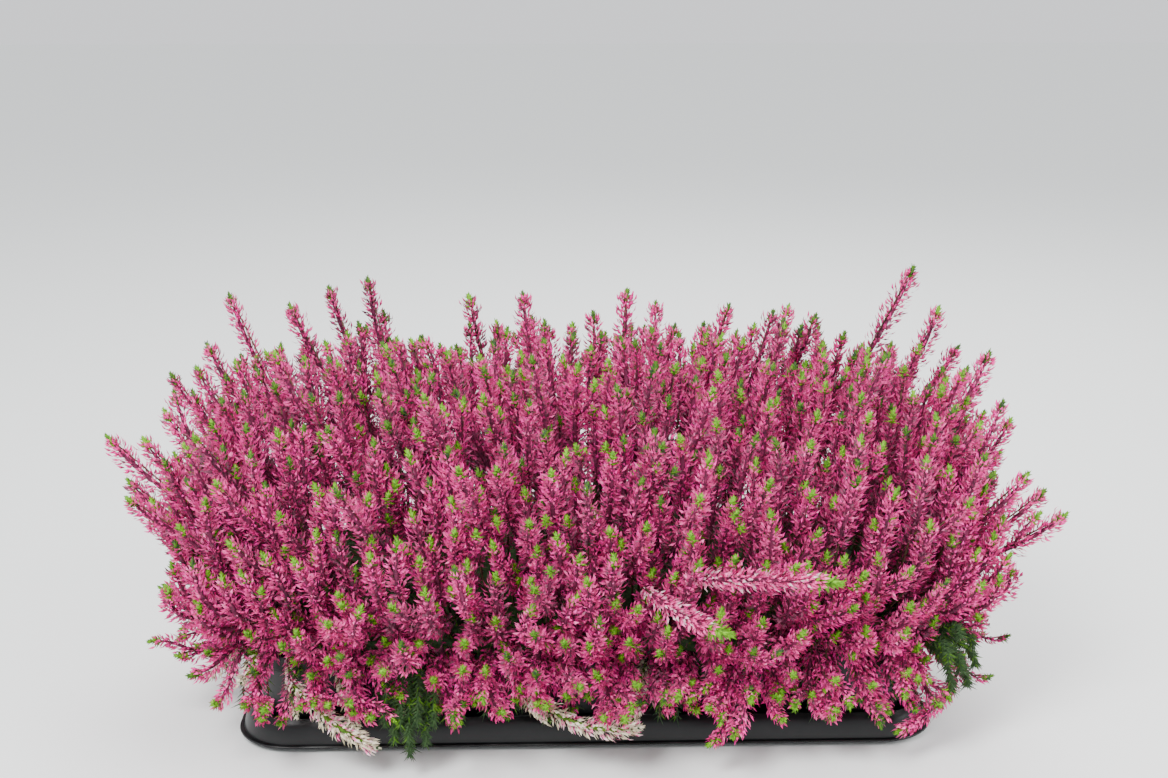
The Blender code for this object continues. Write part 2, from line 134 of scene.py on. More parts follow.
def pot_places():
    """(label, column, row side, x, y) of every pot: row side is -1 in front and 1 behind."""
    for side, row in ((-1, "front"), (1, "back")):
        for column in range(COLUMNS):
            x = (column - (COLUMNS - 1) / 2) * PITCH_X
            yield f"{row}_{column + 1}", column, side, x, side * PITCH_Y / 2


def outward_angles(column, side):
    """Directions in which a plant's low shoots can droop past its pot, away from its neighbours."""
    middle = side * math.pi / 2
    if column == 0:
        return [middle, math.pi]
    return [middle, 0.0] if column == COLUMNS - 1 else [middle]


def foot_point(u, v):
    return np.array([FOOT_HALF[0] * u, FOOT_HALF[1] * v, FOOT_Z])


def dome_place(u, v):
    """Where the shoot that starts at (u, v) of the foot rectangle, each from -1 to 1, meets the dome, and how far
    round the dome that is from the top."""
    u *= 1 - CROWDING + CROWDING * u * u
    a, b = u * math.sqrt(1 - v * v / 2), v * math.sqrt(1 - u * u / 2)
    from_middle = max(math.hypot(a, b), 1e-6)
    angle = DOME_SWEEP * from_middle
    below = max(angle - math.pi / 2, 0) / (DOME_SWEEP - math.pi / 2)
    spread, z = math.sin(min(angle, math.pi / 2)) / from_middle, max(math.cos(angle), 0)
    x, y = a * spread, b * spread
    long_way = (abs(x) ** BOX_POWER + z**BOX_POWER) ** (1 / BOX_POWER)
    size = (long_way**ROUND_POWER + abs(y) ** ROUND_POWER) ** (1 / ROUND_POWER) / (1 - DOME_TUCK * below)
    height = DOME_Z + DOME_RISE * z / size - DOME_FALL * below
    return np.array([DOME_HALF[0] * x / size, DOME_HALF[1] * y / size, height]), angle


def fan_line(u, v, shares):
    """Points on one curve of the fan: it rises from its foot, leans out, and turns up towards its end."""
    start = foot_point(u, v)
    end, angle = dome_place(u, v)
    across = end - start
    first = start + (FIRST_PULL + FIRST_PULL_LOW * (angle / DOME_SWEEP) ** 2) * across
    first[2] = FOOT_Z + FIRST_RISE
    out = np.array([across[0], across[1], 0]) / max(math.hypot(across[0], across[1]), 1e-6)
    steep = math.pi / 2 - END_LEAN * angle
    end_way = math.cos(steep) * out + math.sin(steep) * np.array([0, 0, 1])
    second = end - END_PULL * np.linalg.norm(across) * end_way
    t = np.asarray(shares, float)[:, None]
    return (1 - t) ** 3 * start + 3 * t * (1 - t) ** 2 * first + 3 * t * t * (1 - t) * second + t**3 * end


def shoot_line(u, v, tip, shares):
    """A shoot follows the fan from its foot and leaves it only towards its tip, so roots never cross."""
    away = tip - dome_place(u, v)[0]
    return fan_line(u, v, shares) + away * np.asarray(shares, float)[:, None] ** 3


def spray_of(u, v):
    """(column, half, row side) of the spray that a foot belongs to."""
    place = min(max((u + 1) / 2 * 2 * COLUMNS, 0), 2 * COLUMNS - 1e-6)
    return int(place) // 2, int(place) % 2, (-1 if v < 0 else 1)


def inside_spray(u, v):
    """The same foot drawn in from the edges of its spray's share, so that its root stays in that spray's core."""
    column, half, side = spray_of(u, v)
    width = 1 / COLUMNS
    middle = -1 + (2 * column + half + 0.5) * width
    u = middle + (u - middle) * (1 - 2 * CELL_MARGIN / FOOT_HALF[0] / width)
    low, high = CELL_MARGIN / FOOT_HALF[1], 1 - EDGE_MARGIN / FOOT_HALF[1]
    return u, side * (low + abs(v) * (high - low))


def foot_of(tip):
    """The foot whose own place on the dome is nearest to this tip."""
    grid = np.linspace(-0.97, 0.97, 60)
    _, u, v = min((float(np.sum((dome_place(u, v)[0] - tip) ** 2)), u, v) for u in grid for v in grid)
    return inside_spray(u, v)


def core_tops():
    """(spray, points over the top of its core) for every spray."""
    tops = []
    for _, column, side, _, _ in pot_places():
        for half in (0, 1):
            low = -1 + (2 * column + half) / COLUMNS
            us, vs = low + np.linspace(0.01, 1 / COLUMNS - 0.01, 5), side * np.linspace(0.02, 1, 9)
            tops.append(((column, half, side), np.vstack([fan_line(u, v, [CORE_RIM]) for u in us for v in vs])))
    return tops


def drawn_shoot(draw, on_edge):
    """A random shoot: its foot anywhere, or along the edge of the foot rectangle, and its tip near the dome."""
    u, v = draw.uniform(-1, 1, 2)
    if on_edge:
        along = draw.uniform(-1, 1) * (FOOT_HALF[0] + FOOT_HALF[1])
        if abs(along) < FOOT_HALF[0]:
            u, v = along / FOOT_HALF[0], math.copysign(1, v)
        else:
            u, v = math.copysign(1, along), v
    u, v = inside_spray(u, v)
    reach = float(np.clip(draw.normal(REACH_MEAN, REACH_SPREAD), REACH_LEAST, REACH_MOST))
    start = foot_point(u, v)
    return u, v, start + (dome_place(u, v)[0] - start) * reach + draw.normal(0, 1, 3) * np.array(LEAN_SPREAD)


def low_growth():
    """Points along all the low leafy shoots."""
    found = []
    distances, heights = zip(*[ring[:2] for ring in LEAF_SHOOT_RINGS], LEAF_SHOOT_TIP)
    for _, column, side, x, y in pot_places():
        for angle in outward_angles(column, side):
            for stop in np.linspace(0.8, len(distances) - 1, 16):
                distance = np.interp(stop, range(len(distances)), distances)
                height = np.interp(stop, range(len(heights)), heights)
                found.append((x + distance * math.cos(angle), y + distance * math.sin(angle), height))
    return np.array(found)


def place_shoots():
    """(u, v, tip) of every shoot: first the tall and outer ones, then a skirt round the edge, then the rest.
    Each of these is the seeded draw that stands farthest from the tips already placed."""
    draw = np.random.default_rng(SEED)
    shares = np.linspace(FLOWER_START, 1.0, 16)
    low_shares = np.linspace(CORE_RIM, SHOOT_RINGS[1][0], 9)
    low_radii = np.interp(low_shares, *zip(*SHOOT_RINGS))[:, None]
    whole_shares = np.linspace(CORE_RIM, 1.0, 24)
    whole_radii = np.interp(whole_shares, *zip(*SHOOT_RINGS, (1.0, 0.0)))[:, None]
    tops, leafy = core_tops(), low_growth()
    middles = np.array([(x, y) for _, _, _, x, y in pot_places()])
    shoots, lines, sprays = [], np.empty((0, len(shares), 3)), np.empty((0, 3))

    def clear(u, v, tip):
        line = shoot_line(u, v, tip, shares)
        if len(lines):
            if (np.linalg.norm(lines[:, -1] - line[-1], axis=1) < TIP_GAP).any():
                return False
            near = np.linalg.norm(lines[:, 8] - line[8], axis=1) < 0.12
            apart = np.linalg.norm(lines[near][:, :, None] - line[None, None], axis=3).min(axis=(1, 2), initial=1)
            same = (sprays[near] == spray_of(u, v)).all(axis=1)
            if (apart < np.where(same, GAP_IN_SPRAY, GAP_BETWEEN_SPRAYS)).any():
                return False
        whole = shoot_line(u, v, tip, whole_shares)
        apart = np.linalg.norm(whole[:, None] - leafy[None], axis=2)
        if (apart < whole_radii + LEAF_SHOOT_RADIUS + LOW_GAP).any():
            return False
        from_middles = np.linalg.norm(whole[:, None, :2] - middles[None], axis=2)
        for reach, top in ((POT_RADIUS_TOP, POT_TOP), (LEAF_DISC_REACH, LEAF_DISC_TOP)):
            over = (from_middles < reach + whole_radii + LOW_GAP).any(axis=1)
            if (over & (whole[:, 2] - whole_radii[:, 0] < top + LOW_GAP)).any():
                return False
        low = shoot_line(u, v, tip, low_shares)
        others = np.vstack([points for spray, points in tops if spray != spray_of(u, v)])
        return not (np.linalg.norm(low[:, None] - others[None], axis=2) < low_radii + CORE_GAP).any()

    wanted = [(*foot_of(np.array(tip)), np.array(tip)) for tip in TALL_TIPS + SIDE_TIPS]
    for number in range(-len(wanted), SKIRT_ROUNDS + FILL_ROUNDS):
        if number < 0:
            choices = [wanted[number]]
        else:
            choices = [drawn_shoot(draw, number < SKIRT_ROUNDS) for _ in range(CANDIDATES)]
        choices = [choice for choice in choices if clear(*choice)]
        if choices and len(shoots) < SHOOT_COUNT:
            tips = lines[:, -1] if len(lines) else np.full((1, 3), 9.0)
            best = max(choices, key=lambda choice: np.linalg.norm(tips - choice[2], axis=1).min())
            shoots.append(best)
            lines = np.vstack([lines, shoot_line(*best, shares)[None]])
            sprays = np.vstack([sprays, [spray_of(*best[:2])]])
    return shoots


# Looks
LOOK_SEED = 41
UP = np.array([0.0, 0.0, 1.0])
LEVEL = np.array([1, 1, 0])
GOLDEN = math.radians(137.508)
THIRDS_OF_TURN = (0, 2.0944, 4.1888)

# One flower spike, in metres and degrees. A pair is a mean and a spread.
SPIRE_RADIUS = 0.0104
SIDE_RADIUS = 0.0086
STEM_RADII = (0.0013, 0.0007)
FLORETS_PER_METRE = 3200
FEWEST_FLORETS = 12
FLORET_WIDTH = 0.00195
FLORET_LENGTH = 0.0072
CLOSE_FLORET_LENGTH = 0.0066
SHORTEST_FLORET = 0.0026
STEM_ROOM = 0.0008
CLOSE_SHARE = 0.46
CLOSE_INNER = 0.20
CLOSE_TILT = (54, 10)
OPEN_TILT = (34, 14)
TIP_TILT = 24
BODY_SHARE = 0.20
BODY_STEP = 0.0062
BODY_SIDES = 5
TUFT_LENGTH = 0.0100
TUFT_LEAVES = 28
TUFT_LEAF_WIDTH = 0.00270
TUFT_START = 0.6

# The leafy inside of the sprays: its top's share of the fan's curves, and its roughness and needles
HEART_TOP = 0.36
HEART_ROUGHNESS = 0.0022
HEART_NEEDLES = 420

# Shorter shoots: the share of them on each part of the dome. Their tips stand this far along that part and across
# it, or up from the floor on its sides.
FILLER_COUNT = 700
FILLER_CHOICES = 8
FILLER_SHARES = {"front": 0.37, "back": 0.18, "left": 0.07, "right": 0.07, "top": 0.16, "crown": 0.15}
SIDE_RANGES = (0.95, (0.074, 0.285))
TOP_RANGES = {"top": (0.86, (-0.9, 0.9)), "crown": (0.84, (-0.65, 0.55))}

# name: (dark, light, roughness)
TONES = {
    "floret_pink": ((0.68, 0.034, 0.22), (0.9, 0.085, 0.36), 0.55),
    "floret_hot": ((0.84, 0.012, 0.27), (0.97, 0.05, 0.43), 0.55),
    "floret_pale": ((0.91, 0.11, 0.37), (0.97, 0.25, 0.49), 0.55),
    "floret_deep": ((0.32, 0.034, 0.11), (0.54, 0.06, 0.2), 0.55),
    "floret_dusk": ((0.13, 0.046, 0.075), (0.27, 0.085, 0.14), 0.6),
    "floret_cream": ((0.56, 0.5, 0.33), (0.82, 0.76, 0.59), 0.55),
    "floret_silver": ((0.56, 0.36, 0.42), (0.86, 0.64, 0.68), 0.55),
    "leaf_lime": ((0.07, 0.23, 0.003), (0.21, 0.48, 0.012), 0.5),
    "leaf_moss": ((0.035, 0.11, 0.004), (0.1, 0.23, 0.012), 0.52),
    "leaf_dark": ((0.014, 0.036, 0.013), (0.045, 0.095, 0.028), 0.55),
    # Dark purple core of each spike, seen between the florets: painted shade
    "floret_core_shade": ((0.05, 0.01, 0.024), (0.2, 0.024, 0.08), 0.7),
    "wood": ((0.05, 0.028, 0.018), (0.13, 0.075, 0.045), 0.8),
}
KINDS = list(TONES)
PINK, HOT, PALE, DEEP, DUSK, CREAM, SILVER, LIME, MOSS, DARK, CORE_SHADE, WOOD = range(len(KINDS))
# The darker kind painted on the foot half of each floret, next to the stem, as painted shade
FOOT_SHADE_KIND = np.arange(len(KINDS))
FOOT_SHADE_KIND[[PINK, HOT, PALE, DEEP, SILVER]] = DEEP, DEEP, PINK, DUSK, PALE
# Shares of pale, deep, dusky and hot florets near the tip of a spike of each tone
TONE_SHARES = {"bright": (0.20, 0.05, 0.02, 0.75), "middle": (0.12, 0.18, 0.05, 0.35), "dull": (0.08, 0.42, 0.16, 0.10)}


class Surface:
    """A material whose colour goes from a dark to a light tone between two stops of a pattern, with a fine bump.
    In the names of sockets, an underscore stands for a space."""

    def __init__(self, name, tones, stops, strength, distance, **values):
        self.made = bpy.data.materials.new(name)
        self.made.use_nodes = True
        self.nodes = self.made.node_tree.nodes
        self.shader, self.place = self.nodes["Principled BSDF"], self.add("TexCoord")
        self.tint, self.bump = self.add("ValToRGB"), self.add("Bump", Strength=strength, Distance=distance)
        for element, tone, stop in zip(self.tint.color_ramp.elements, tones, stops):
            element.position, element.color = stop, (*tone, 1)
        self.join(self.tint, "Color", self.shader, "Base Color")
        self.join(self.bump, "Normal", self.shader, "Normal")
        self.set_values(self.shader, values)

    def set_values(self, node, values):
        for socket, value in values.items():
            node.inputs[socket.replace("_", " ")].default_value = value

    def add(self, kind, **values):
        node = self.nodes.new("ShaderNode" + kind)
        self.set_values(node, values)
        return node

    def pattern(self, kind, **values):
        node = self.add(kind, **values)
        self.join(self.place, "Object", node, "Vector")
        return node

    def join(self, giver, output, taker, socket):
        self.made.node_tree.links.new(giver.outputs[output], taker.inputs[socket])


def grown_material(name):
    """Petal, leaf or bark: two tones mixed by a coarse and a fine noise, with a fine bump."""
    found = bpy.data.materials.get(name)
    if found:
        return found
    dark, light, roughness = TONES[name]
    grown = Surface(name, (dark, light), (0.38, 0.62), 0.35, 0.0003, Roughness=roughness, Specular_IOR_Level=0.22)
    coarse = grown.pattern("TexNoise", Scale=24.0, Detail=2.0)
    fine = grown.pattern("TexNoise", Scale=420.0, Detail=3.0)
    both = grown.add("Mix")
    both.data_type = "FLOAT"
    both.inputs[0].default_value = 0.68
    grown.join(coarse, "Fac", both, 2)
    grown.join(fine, "Fac", both, 3)
    grown.join(both, 0, grown.tint, "Fac")
    grown.join(fine, "Fac", grown.bump, "Height")
    return grown.made


def unit(vectors):
    return vectors / np.maximum(np.linalg.norm(vectors, axis=-1, keepdims=True), 1e-9)


class Growth:
    """Gathers many small solids of one piece and writes them as one mesh."""

    def __init__(self):
        self.points, self.faces, self.kinds, self.smooth, self.count = [], [], [], [], 0

    def add(self, points, faces, kinds, smooth=True):
        """Copies of one small solid: points by copy and corner, and a kind for each copy or each face."""
        copies, each, _ = points.shape
        starts = self.count + each * np.arange(copies)
        self.points.append(points.reshape(-1, 3))
        self.faces.append((starts[:, None, None] + faces[None]).reshape(-1, 3))
        self.kinds.append(kinds.reshape(-1) if kinds.ndim == 2 else np.repeat(kinds, len(faces)))
        self.smooth.append(np.full(copies * len(faces), smooth))
        self.count += copies * each

    def write(self, name):
        points, faces = np.concatenate(self.points), np.concatenate(self.faces)
        used, kinds = np.unique(np.concatenate(self.kinds), return_inverse=True)
        mesh = bpy.data.meshes.new(name)
        mesh.vertices.add(len(points))
        mesh.vertices.foreach_set("co", points.astype(np.float32).ravel())
        mesh.loops.add(3 * len(faces))
        mesh.loops.foreach_set("vertex_index", faces.astype(np.int32).ravel())
        mesh.polygons.add(len(faces))
        mesh.polygons.foreach_set("loop_start", np.arange(0, 3 * len(faces), 3, dtype=np.int32))
        for kind in used:
            mesh.materials.append(grown_material(KINDS[kind]))
        mesh.polygons.foreach_set("material_index", kinds.ravel().astype(np.int32))
        mesh.polygons.foreach_set("use_smooth", np.concatenate(self.smooth))
        mesh.update(calc_edges=True)
        made = bpy.data.objects.new(name, mesh)
        bpy.context.scene.collection.objects.link(made)
        return made


def across(ways, draw):
    """Two directions at right angles to each way, turned at random."""
    spare = np.where(np.abs(ways[:, 2:]) < 0.9, UP, np.array([1.0, 0, 0]))
    one = unit(np.cross(ways, spare))
    two = np.cross(ways, one)
    turn = draw.uniform(0, 2 * math.pi, len(ways))[:, None]
    return one * np.cos(turn) + two * np.sin(turn), two * np.cos(turn) - one * np.sin(turn)


CRUMB_FACES = np.array([(0, 1, 3), (1, 2, 3), (0, 2, 1), (0, 3, 2)])
FLORET_FACES = np.array([(0, 2, 1), (1, 2, 3)])
NEEDLE_FACES = np.array([(0, 1, 3), (1, 2, 3), (2, 0, 3)])


def add_crumbs(growth, feet, ways, lengths, draw):
    """Crumbs: keeled grains, pointed at both ends."""
    one, two = across(ways, draw)
    belly_at = feet + ways * (0.46 * lengths)[:, None]
    half = (0.6 * lengths / 2)[:, None]
    left, right = belly_at + half * (one + 0.8 * two), belly_at - half * (one - 0.8 * two)
    corners = np.stack([feet, left, right, feet + ways * lengths[:, None]], axis=1)
    growth.add(corners, CRUMB_FACES, np.full(len(feet), WOOD))


def add_florets(growth, feet, ways, outs, lengths, widths, kinds, draw):
    """Florets: two-faced pointed petals, bent at the middle and darker at the foot, which is painted shade near the
    stem.
    """
    level = unit(np.cross(ways, outs) + draw.normal(0, 1e-3, ways.shape))
    over = np.cross(level, ways)
    roll = draw.normal(0, 0.75, len(ways))[:, None]
    across_way = level * np.cos(roll) + over * np.sin(roll)
    keel = over * np.cos(roll) - level * np.sin(roll)
    belly_at = feet + ways * (0.48 * lengths)[:, None] + keel * (0.13 * lengths)[:, None]
    half = (widths / 2)[:, None]
    points = np.stack([feet, belly_at + half * across_way, belly_at - half * across_way,
                       feet + ways * lengths[:, None]], axis=1)
    growth.add(points, FLORET_FACES, np.stack([FOOT_SHADE_KIND[kinds], kinds], axis=1), smooth=False)


def tube_faces(count, sides, zigzag=False):
    """The sides of a tube of rings. With zigzag, the faces of every other ring are split the other way."""
    faces = []
    for ring in range(count - 1):
        for i in range(sides):
            a, b = sides * ring + i, sides * ring + (i + 1) % sides
            c, d = a + sides, b + sides
            faces += [(a, b, c), (b, d, c)] if zigzag and ring % 2 == 0 else [(a, b, d), (a, d, c)]
    return faces


def add_body(growth, line, along, wanted, radii, kind):
    """The dense inside of a spike, dark between the florets as painted shade: rings of corners, each turned half a side
    from the last and every other narrower.
    """
    places, ways, side, other = at_lengths(line, along, wanted)
    count = len(wanted)
    odd = np.arange(count) % 2
    turns = 2 * math.pi * (np.arange(BODY_SIDES)[None] + 0.5 * odd[:, None]) / BODY_SIDES
    swell = radii[:, None, None] * np.where(odd, 0.84, 1.0)[:, None, None]
    outs = np.cos(turns)[..., None] * side[:, None] + np.sin(turns)[..., None] * other[:, None]
    rings = places[:, None] + swell * outs
    growth.add(rings.reshape(1, -1, 3), np.array(tube_faces(count, BODY_SIDES, True)), np.array([kind]))


def add_needles(growth, feet, ways, lengths, widths, kinds, draw):
    """Leaves: three-sided needles."""
    one, two = across(ways, draw)
    half = (widths / 2)[:, None]
    corners = [feet + half * (math.cos(a) * one + math.sin(a) * two) for a in THIRDS_OF_TURN]
    growth.add(np.stack([*corners, feet + ways * lengths[:, None]], axis=1), NEEDLE_FACES, kinds)


def add_stem(growth, line, radius_low, radius_high):
    """A three-sided woody stem along a curve."""
    steps = len(line)
    ways = unit(np.gradient(line, axis=0))
    side, other = frame_along(line, ways)
    radii = np.linspace(radius_low, radius_high, steps)[:, None]
    rings = [line + radii * (math.cos(a) * side + math.sin(a) * other) for a in THIRDS_OF_TURN]
    points = np.stack(rings, axis=1).reshape(-1, 3)
    faces = [*tube_faces(steps, 3), (0, 2, 1), (3 * steps - 3, 3 * steps - 2, 3 * steps - 1)]
    growth.add(points[None], np.array(faces), np.array([WOOD]))


def frame_along(line, ways):
    """Two steady directions at right angles to a curve that stays near one upright plane."""
    side = np.cross(UP, line[-1] - line[0])
    side = unit(side) if np.linalg.norm(side) > 1e-4 else np.array([1.0, 0, 0])
    side = unit(side - np.sum(ways * side, axis=1, keepdims=True) * ways)
    return side, np.cross(ways, side)


def lengths_along(line):
    return np.concatenate([[0], np.cumsum(np.linalg.norm(np.diff(line, axis=0), axis=1))])


def at_lengths(line, along, wanted):
    """Places and ways at these lengths along a curve, with its steady frame."""
    ways = unit(np.gradient(line, axis=0))
    side, other = frame_along(line, ways)

    def pick(values):
        return np.stack([np.interp(wanted, along, values[:, k]) for k in range(3)], axis=1)

    return pick(line), unit(pick(ways)), unit(pick(side)), unit(pick(other))


def turned_ways(ways, side, other, turns, tilts):
    """Directions round a stem: tilt 0 sticks straight out and a quarter turn points along the stem."""
    out = side * np.cos(turns)[:, None] + other * np.sin(turns)[:, None]
    return out, unit(out * np.cos(tilts)[:, None] + ways * np.sin(tilts)[:, None])


def floret_kinds(from_tip, length, draw, tone):
    """Which material each floret has: brighter towards the tip, darker and browner at the foot, partly for older
    florets and partly as painted shade deeper in the mass.
    """
    count = len(from_tip)
    pick = draw.uniform(0, 1, count)
    if tone == "cream":
        return np.where(pick < 0.72, CREAM, np.where(pick < 0.9, SILVER, PALE))
    if tone == "silver":
        low = np.clip(from_tip / length * 1.5 - 0.35, 0, 1)
        kinds = np.where(pick < 0.08 + 0.72 * low, SILVER, PALE)
        return np.where((pick > 0.30) & (draw.uniform(0, 1, count) > 0.7 * low), PINK, kinds)
    pale, deep, dusk, hot = TONE_SHARES[tone]
    # Deep and dusky florets grow commoner towards the foot: partly ageing, partly painted shade
    low = np.clip((from_tip - 0.020) / 0.085, 0, 1)
    kinds = np.where(draw.uniform(0, 1, count) < hot, HOT, PINK)
    kinds[pick < pale * (1 - 0.6 * low)] = PALE
    kinds[pick > 1 - (deep + 0.45 * low)] = DEEP
    kinds[pick > 1 - (dusk + 0.35 * np.clip(low * 1.6 - 0.5, 0, 1))] = DUSK
    return kinds


def add_spire(growth, line, draw, radius=SPIRE_RADIUS, tone="middle", bare=0.0, density=1.0, tuft=LIME,
              needles=0, tip_scale=None):
    """One flower spike along a curve: a woody stem, florets all round, needles low down and a leafy tip."""
    along = lengths_along(line)
    whole = along[-1]
    start = TUFT_START * TUFT_LENGTH * (1.3 * tip_scale if tip_scale else 1)
    flowered = whole * (1 - bare) - start
    fullness = 0.35 + 0.65 * radius / SPIRE_RADIUS
    count = max(int(flowered * FLORETS_PER_METRE * density * fullness), FEWEST_FLORETS)
    from_tip = start + flowered * ((np.arange(count) + draw.uniform(0, 1, count)) / count) ** 1.3
    places, ways, side, other = at_lengths(line, along, whole - from_tip)

    # The spike narrows at both ends, and the florets at its tip point more along it. Some lie close to the stem.
    near = np.clip((from_tip - 0.5 * TUFT_LENGTH) / 0.024, 0, 1)
    low = np.clip((whole * (1 - bare) - from_tip) / 0.018, 0, 1)
    reach = radius * (0.55 + 0.45 * near**0.7) * (0.62 + 0.38 * low) * draw.normal(1, 0.09, count)
    close = draw.uniform(0, 1, count) < CLOSE_SHARE
    close_tilt, open_tilt = draw.normal(*CLOSE_TILT, count), draw.normal(*OPEN_TILT, count) + TIP_TILT * (1 - near)
    tilts = np.radians(np.where(close, close_tilt, open_tilt))
    turns = GOLDEN * np.arange(count) + draw.normal(0, 0.35, count)
    out, heading = turned_ways(ways, side, other, turns, np.clip(tilts, -0.3, 1.25))
    lengths = (reach - STEM_ROOM) / np.cos(np.clip(tilts, -0.3, 1.0))
    lengths = np.clip(lengths, SHORTEST_FLORET, FLORET_LENGTH)
    lengths = np.where(close, np.minimum(0.80 * reach, CLOSE_FLORET_LENGTH), lengths)
    inner = np.where(close, CLOSE_INNER * reach, np.maximum(reach - lengths * np.cos(tilts), STEM_ROOM))[:, None]
    widths = FLORET_WIDTH * draw.normal(1, 0.14, count) * np.where(close, 1.12, 1)
    kinds = floret_kinds(from_tip, whole, draw, tone)
    add_florets(growth, places + inner * out, heading, out, lengths, widths, kinds, draw)

    back = 0.55 * TUFT_LENGTH + (flowered - 0.004) * np.linspace(0, 1, max(int(flowered / BODY_STEP), 4))
    shape = np.clip((back - 0.2 * TUFT_LENGTH) / 0.022, 0.16, 1)
    shape = shape * np.clip((whole * (1 - bare) - back) / 0.014, 0.2, 1)
    # The core's dark purple is painted shade between the florets; cream spikes get a moss-green core.
    add_body(growth, line, along, whole - back, BODY_SHARE * radius * shape, MOSS if tone == "cream" else CORE_SHADE)
    steps = np.linspace(0, len(line) - 1, 5).round().astype(int)
    add_stem(growth, line[steps], *STEM_RADII)
    add_tuft(growth, line, along, draw, tuft, tip_scale or (1.0 if radius > 0.007 else 0.86))
    if needles:
        wanted = whole * np.sort(draw.uniform(0.02, bare + 0.12, needles))
        add_leaves(growth, line, along, wanted, draw, 0.0062, 0.0011)


def add_tuft(growth, line, along, draw, kind, scale):
    """The leafy tip of a spike: its leaves spread more and are longer the farther they are from the tip."""
    count = int(TUFT_LEAVES * scale)
    from_tip = TUFT_LENGTH * scale * (1 - (np.arange(count) + 0.5) / count) ** 0.9
    places, ways, side, other = at_lengths(line, along, along[-1] - from_tip)
    share = from_tip / TUFT_LENGTH / scale
    tilts = np.radians(82 - 66 * share**0.55 + draw.normal(0, 9, count))
    _, heading = turned_ways(ways, side, other, GOLDEN * np.arange(count), tilts)
    lengths = scale * (0.0036 + 0.0030 * share) * draw.normal(1, 0.12, count)
    widths = np.full(count, TUFT_LEAF_WIDTH * scale)
    kinds = np.where(draw.uniform(0, 1, count) < 0.75, kind, MOSS if kind == LIME else DARK)
    add_needles(growth, places, heading, lengths, widths, kinds, draw)


def add_leaves(growth, line, along, wanted, draw, length, width):
    """Needle leaves at these lengths along a bare stem."""
    count = len(wanted)
    places, ways, side, other = at_lengths(line, along, wanted)
    tilts = np.radians(draw.normal(42, 12, count))
    _, heading = turned_ways(ways, side, other, GOLDEN * np.arange(count), tilts)
    kinds = np.where(draw.uniform(0, 1, count) < 0.8, DARK, MOSS)
    add_needles(growth, places, heading, length * draw.normal(1, 0.15, count), np.full(count, width), kinds, draw)


def add_leafy_shoot(growth, line, stops, radii, draw, first, count, length, width, tuft=None, scale=1.0):
    """A stem with needles from the share first of its length on, and a tuft of leaves where it has one."""
    along = lengths_along(line)
    add_stem(growth, line[stops], *radii)
    add_leaves(growth, line, along, along[-1] * np.sort(draw.uniform(first, 1, count)), draw, length, width)
    if tuft is not None:
        add_tuft(growth, line, along, draw, tuft, scale)


def bent(points, steps=26):
    """A Bezier curve through four control points."""
    a, b, c, d = (np.asarray(p, float) for p in points)
    t = np.linspace(0, 1, steps)[:, None]
    return (1 - t) ** 3 * a + 3 * t * (1 - t) ** 2 * b + 3 * t * t * (1 - t) * c + t**3 * d


def side_spike(line, share, draw, low_front):
    """The curve of a short spike that leaves a shoot at this share of its curve."""
    whole = lengths_along(line)
    places, ways, side, other = at_lengths(line, whole, np.array([share * whole[-1]]))
    start, way = places[0], ways[0]
    turn = draw.uniform(0, 2 * math.pi)
    out = side[0] * math.cos(turn) + other[0] * math.sin(turn)
    if low_front and out[2] < -0.2:
        out = -out
    length = draw.uniform(0.026, 0.044)
    end = start + length * unit(0.86 * way + 0.50 * out + 0.16 * UP)
    first, second = start + 0.35 * length * unit(way + 0.9 * out), end - 0.4 * length * unit(way + 0.3 * UP)
    return bent((start, first, second, end), 12)


def rounded_rest(whole, part, power):
    """The other side of a rounded corner, from its whole size and one side."""
    return max(whole**power - part**power, 0.02) ** (1 / power)


def skin_place(area, a, b):
    """A place on the dome that the shoots' tips form: on its front or back, on one end, or on its top."""
    half_x, half_y = DOME_HALF
    if area in ("front", "back"):
        x, z = a * half_x, b
        rise = max(z - DOME_Z, 0) / DOME_RISE
        long_way = (abs(x / half_x) ** BOX_POWER + rise**BOX_POWER) ** (1 / BOX_POWER)
        y = half_y * rounded_rest(1, long_way, ROUND_POWER)
        y *= -1 if area == "front" else 1
    elif area in ("left", "right"):
        y, z = a * half_y, b
        rise = max(z - DOME_Z, 0) / DOME_RISE
        x = half_x * rounded_rest(rounded_rest(1, abs(y / half_y), ROUND_POWER), rise, BOX_POWER)
        x *= -0.94 if area == "left" else 0.94
    else:
        x, y = a * half_x, b * half_y
        z = DOME_Z + DOME_RISE * rounded_rest(rounded_rest(1, abs(b), ROUND_POWER), abs(a), BOX_POWER)
    tuck = 1 - DOME_TUCK * max(DOME_Z - z, 0) / DOME_FALL
    return np.array([x * tuck, y * tuck, z])


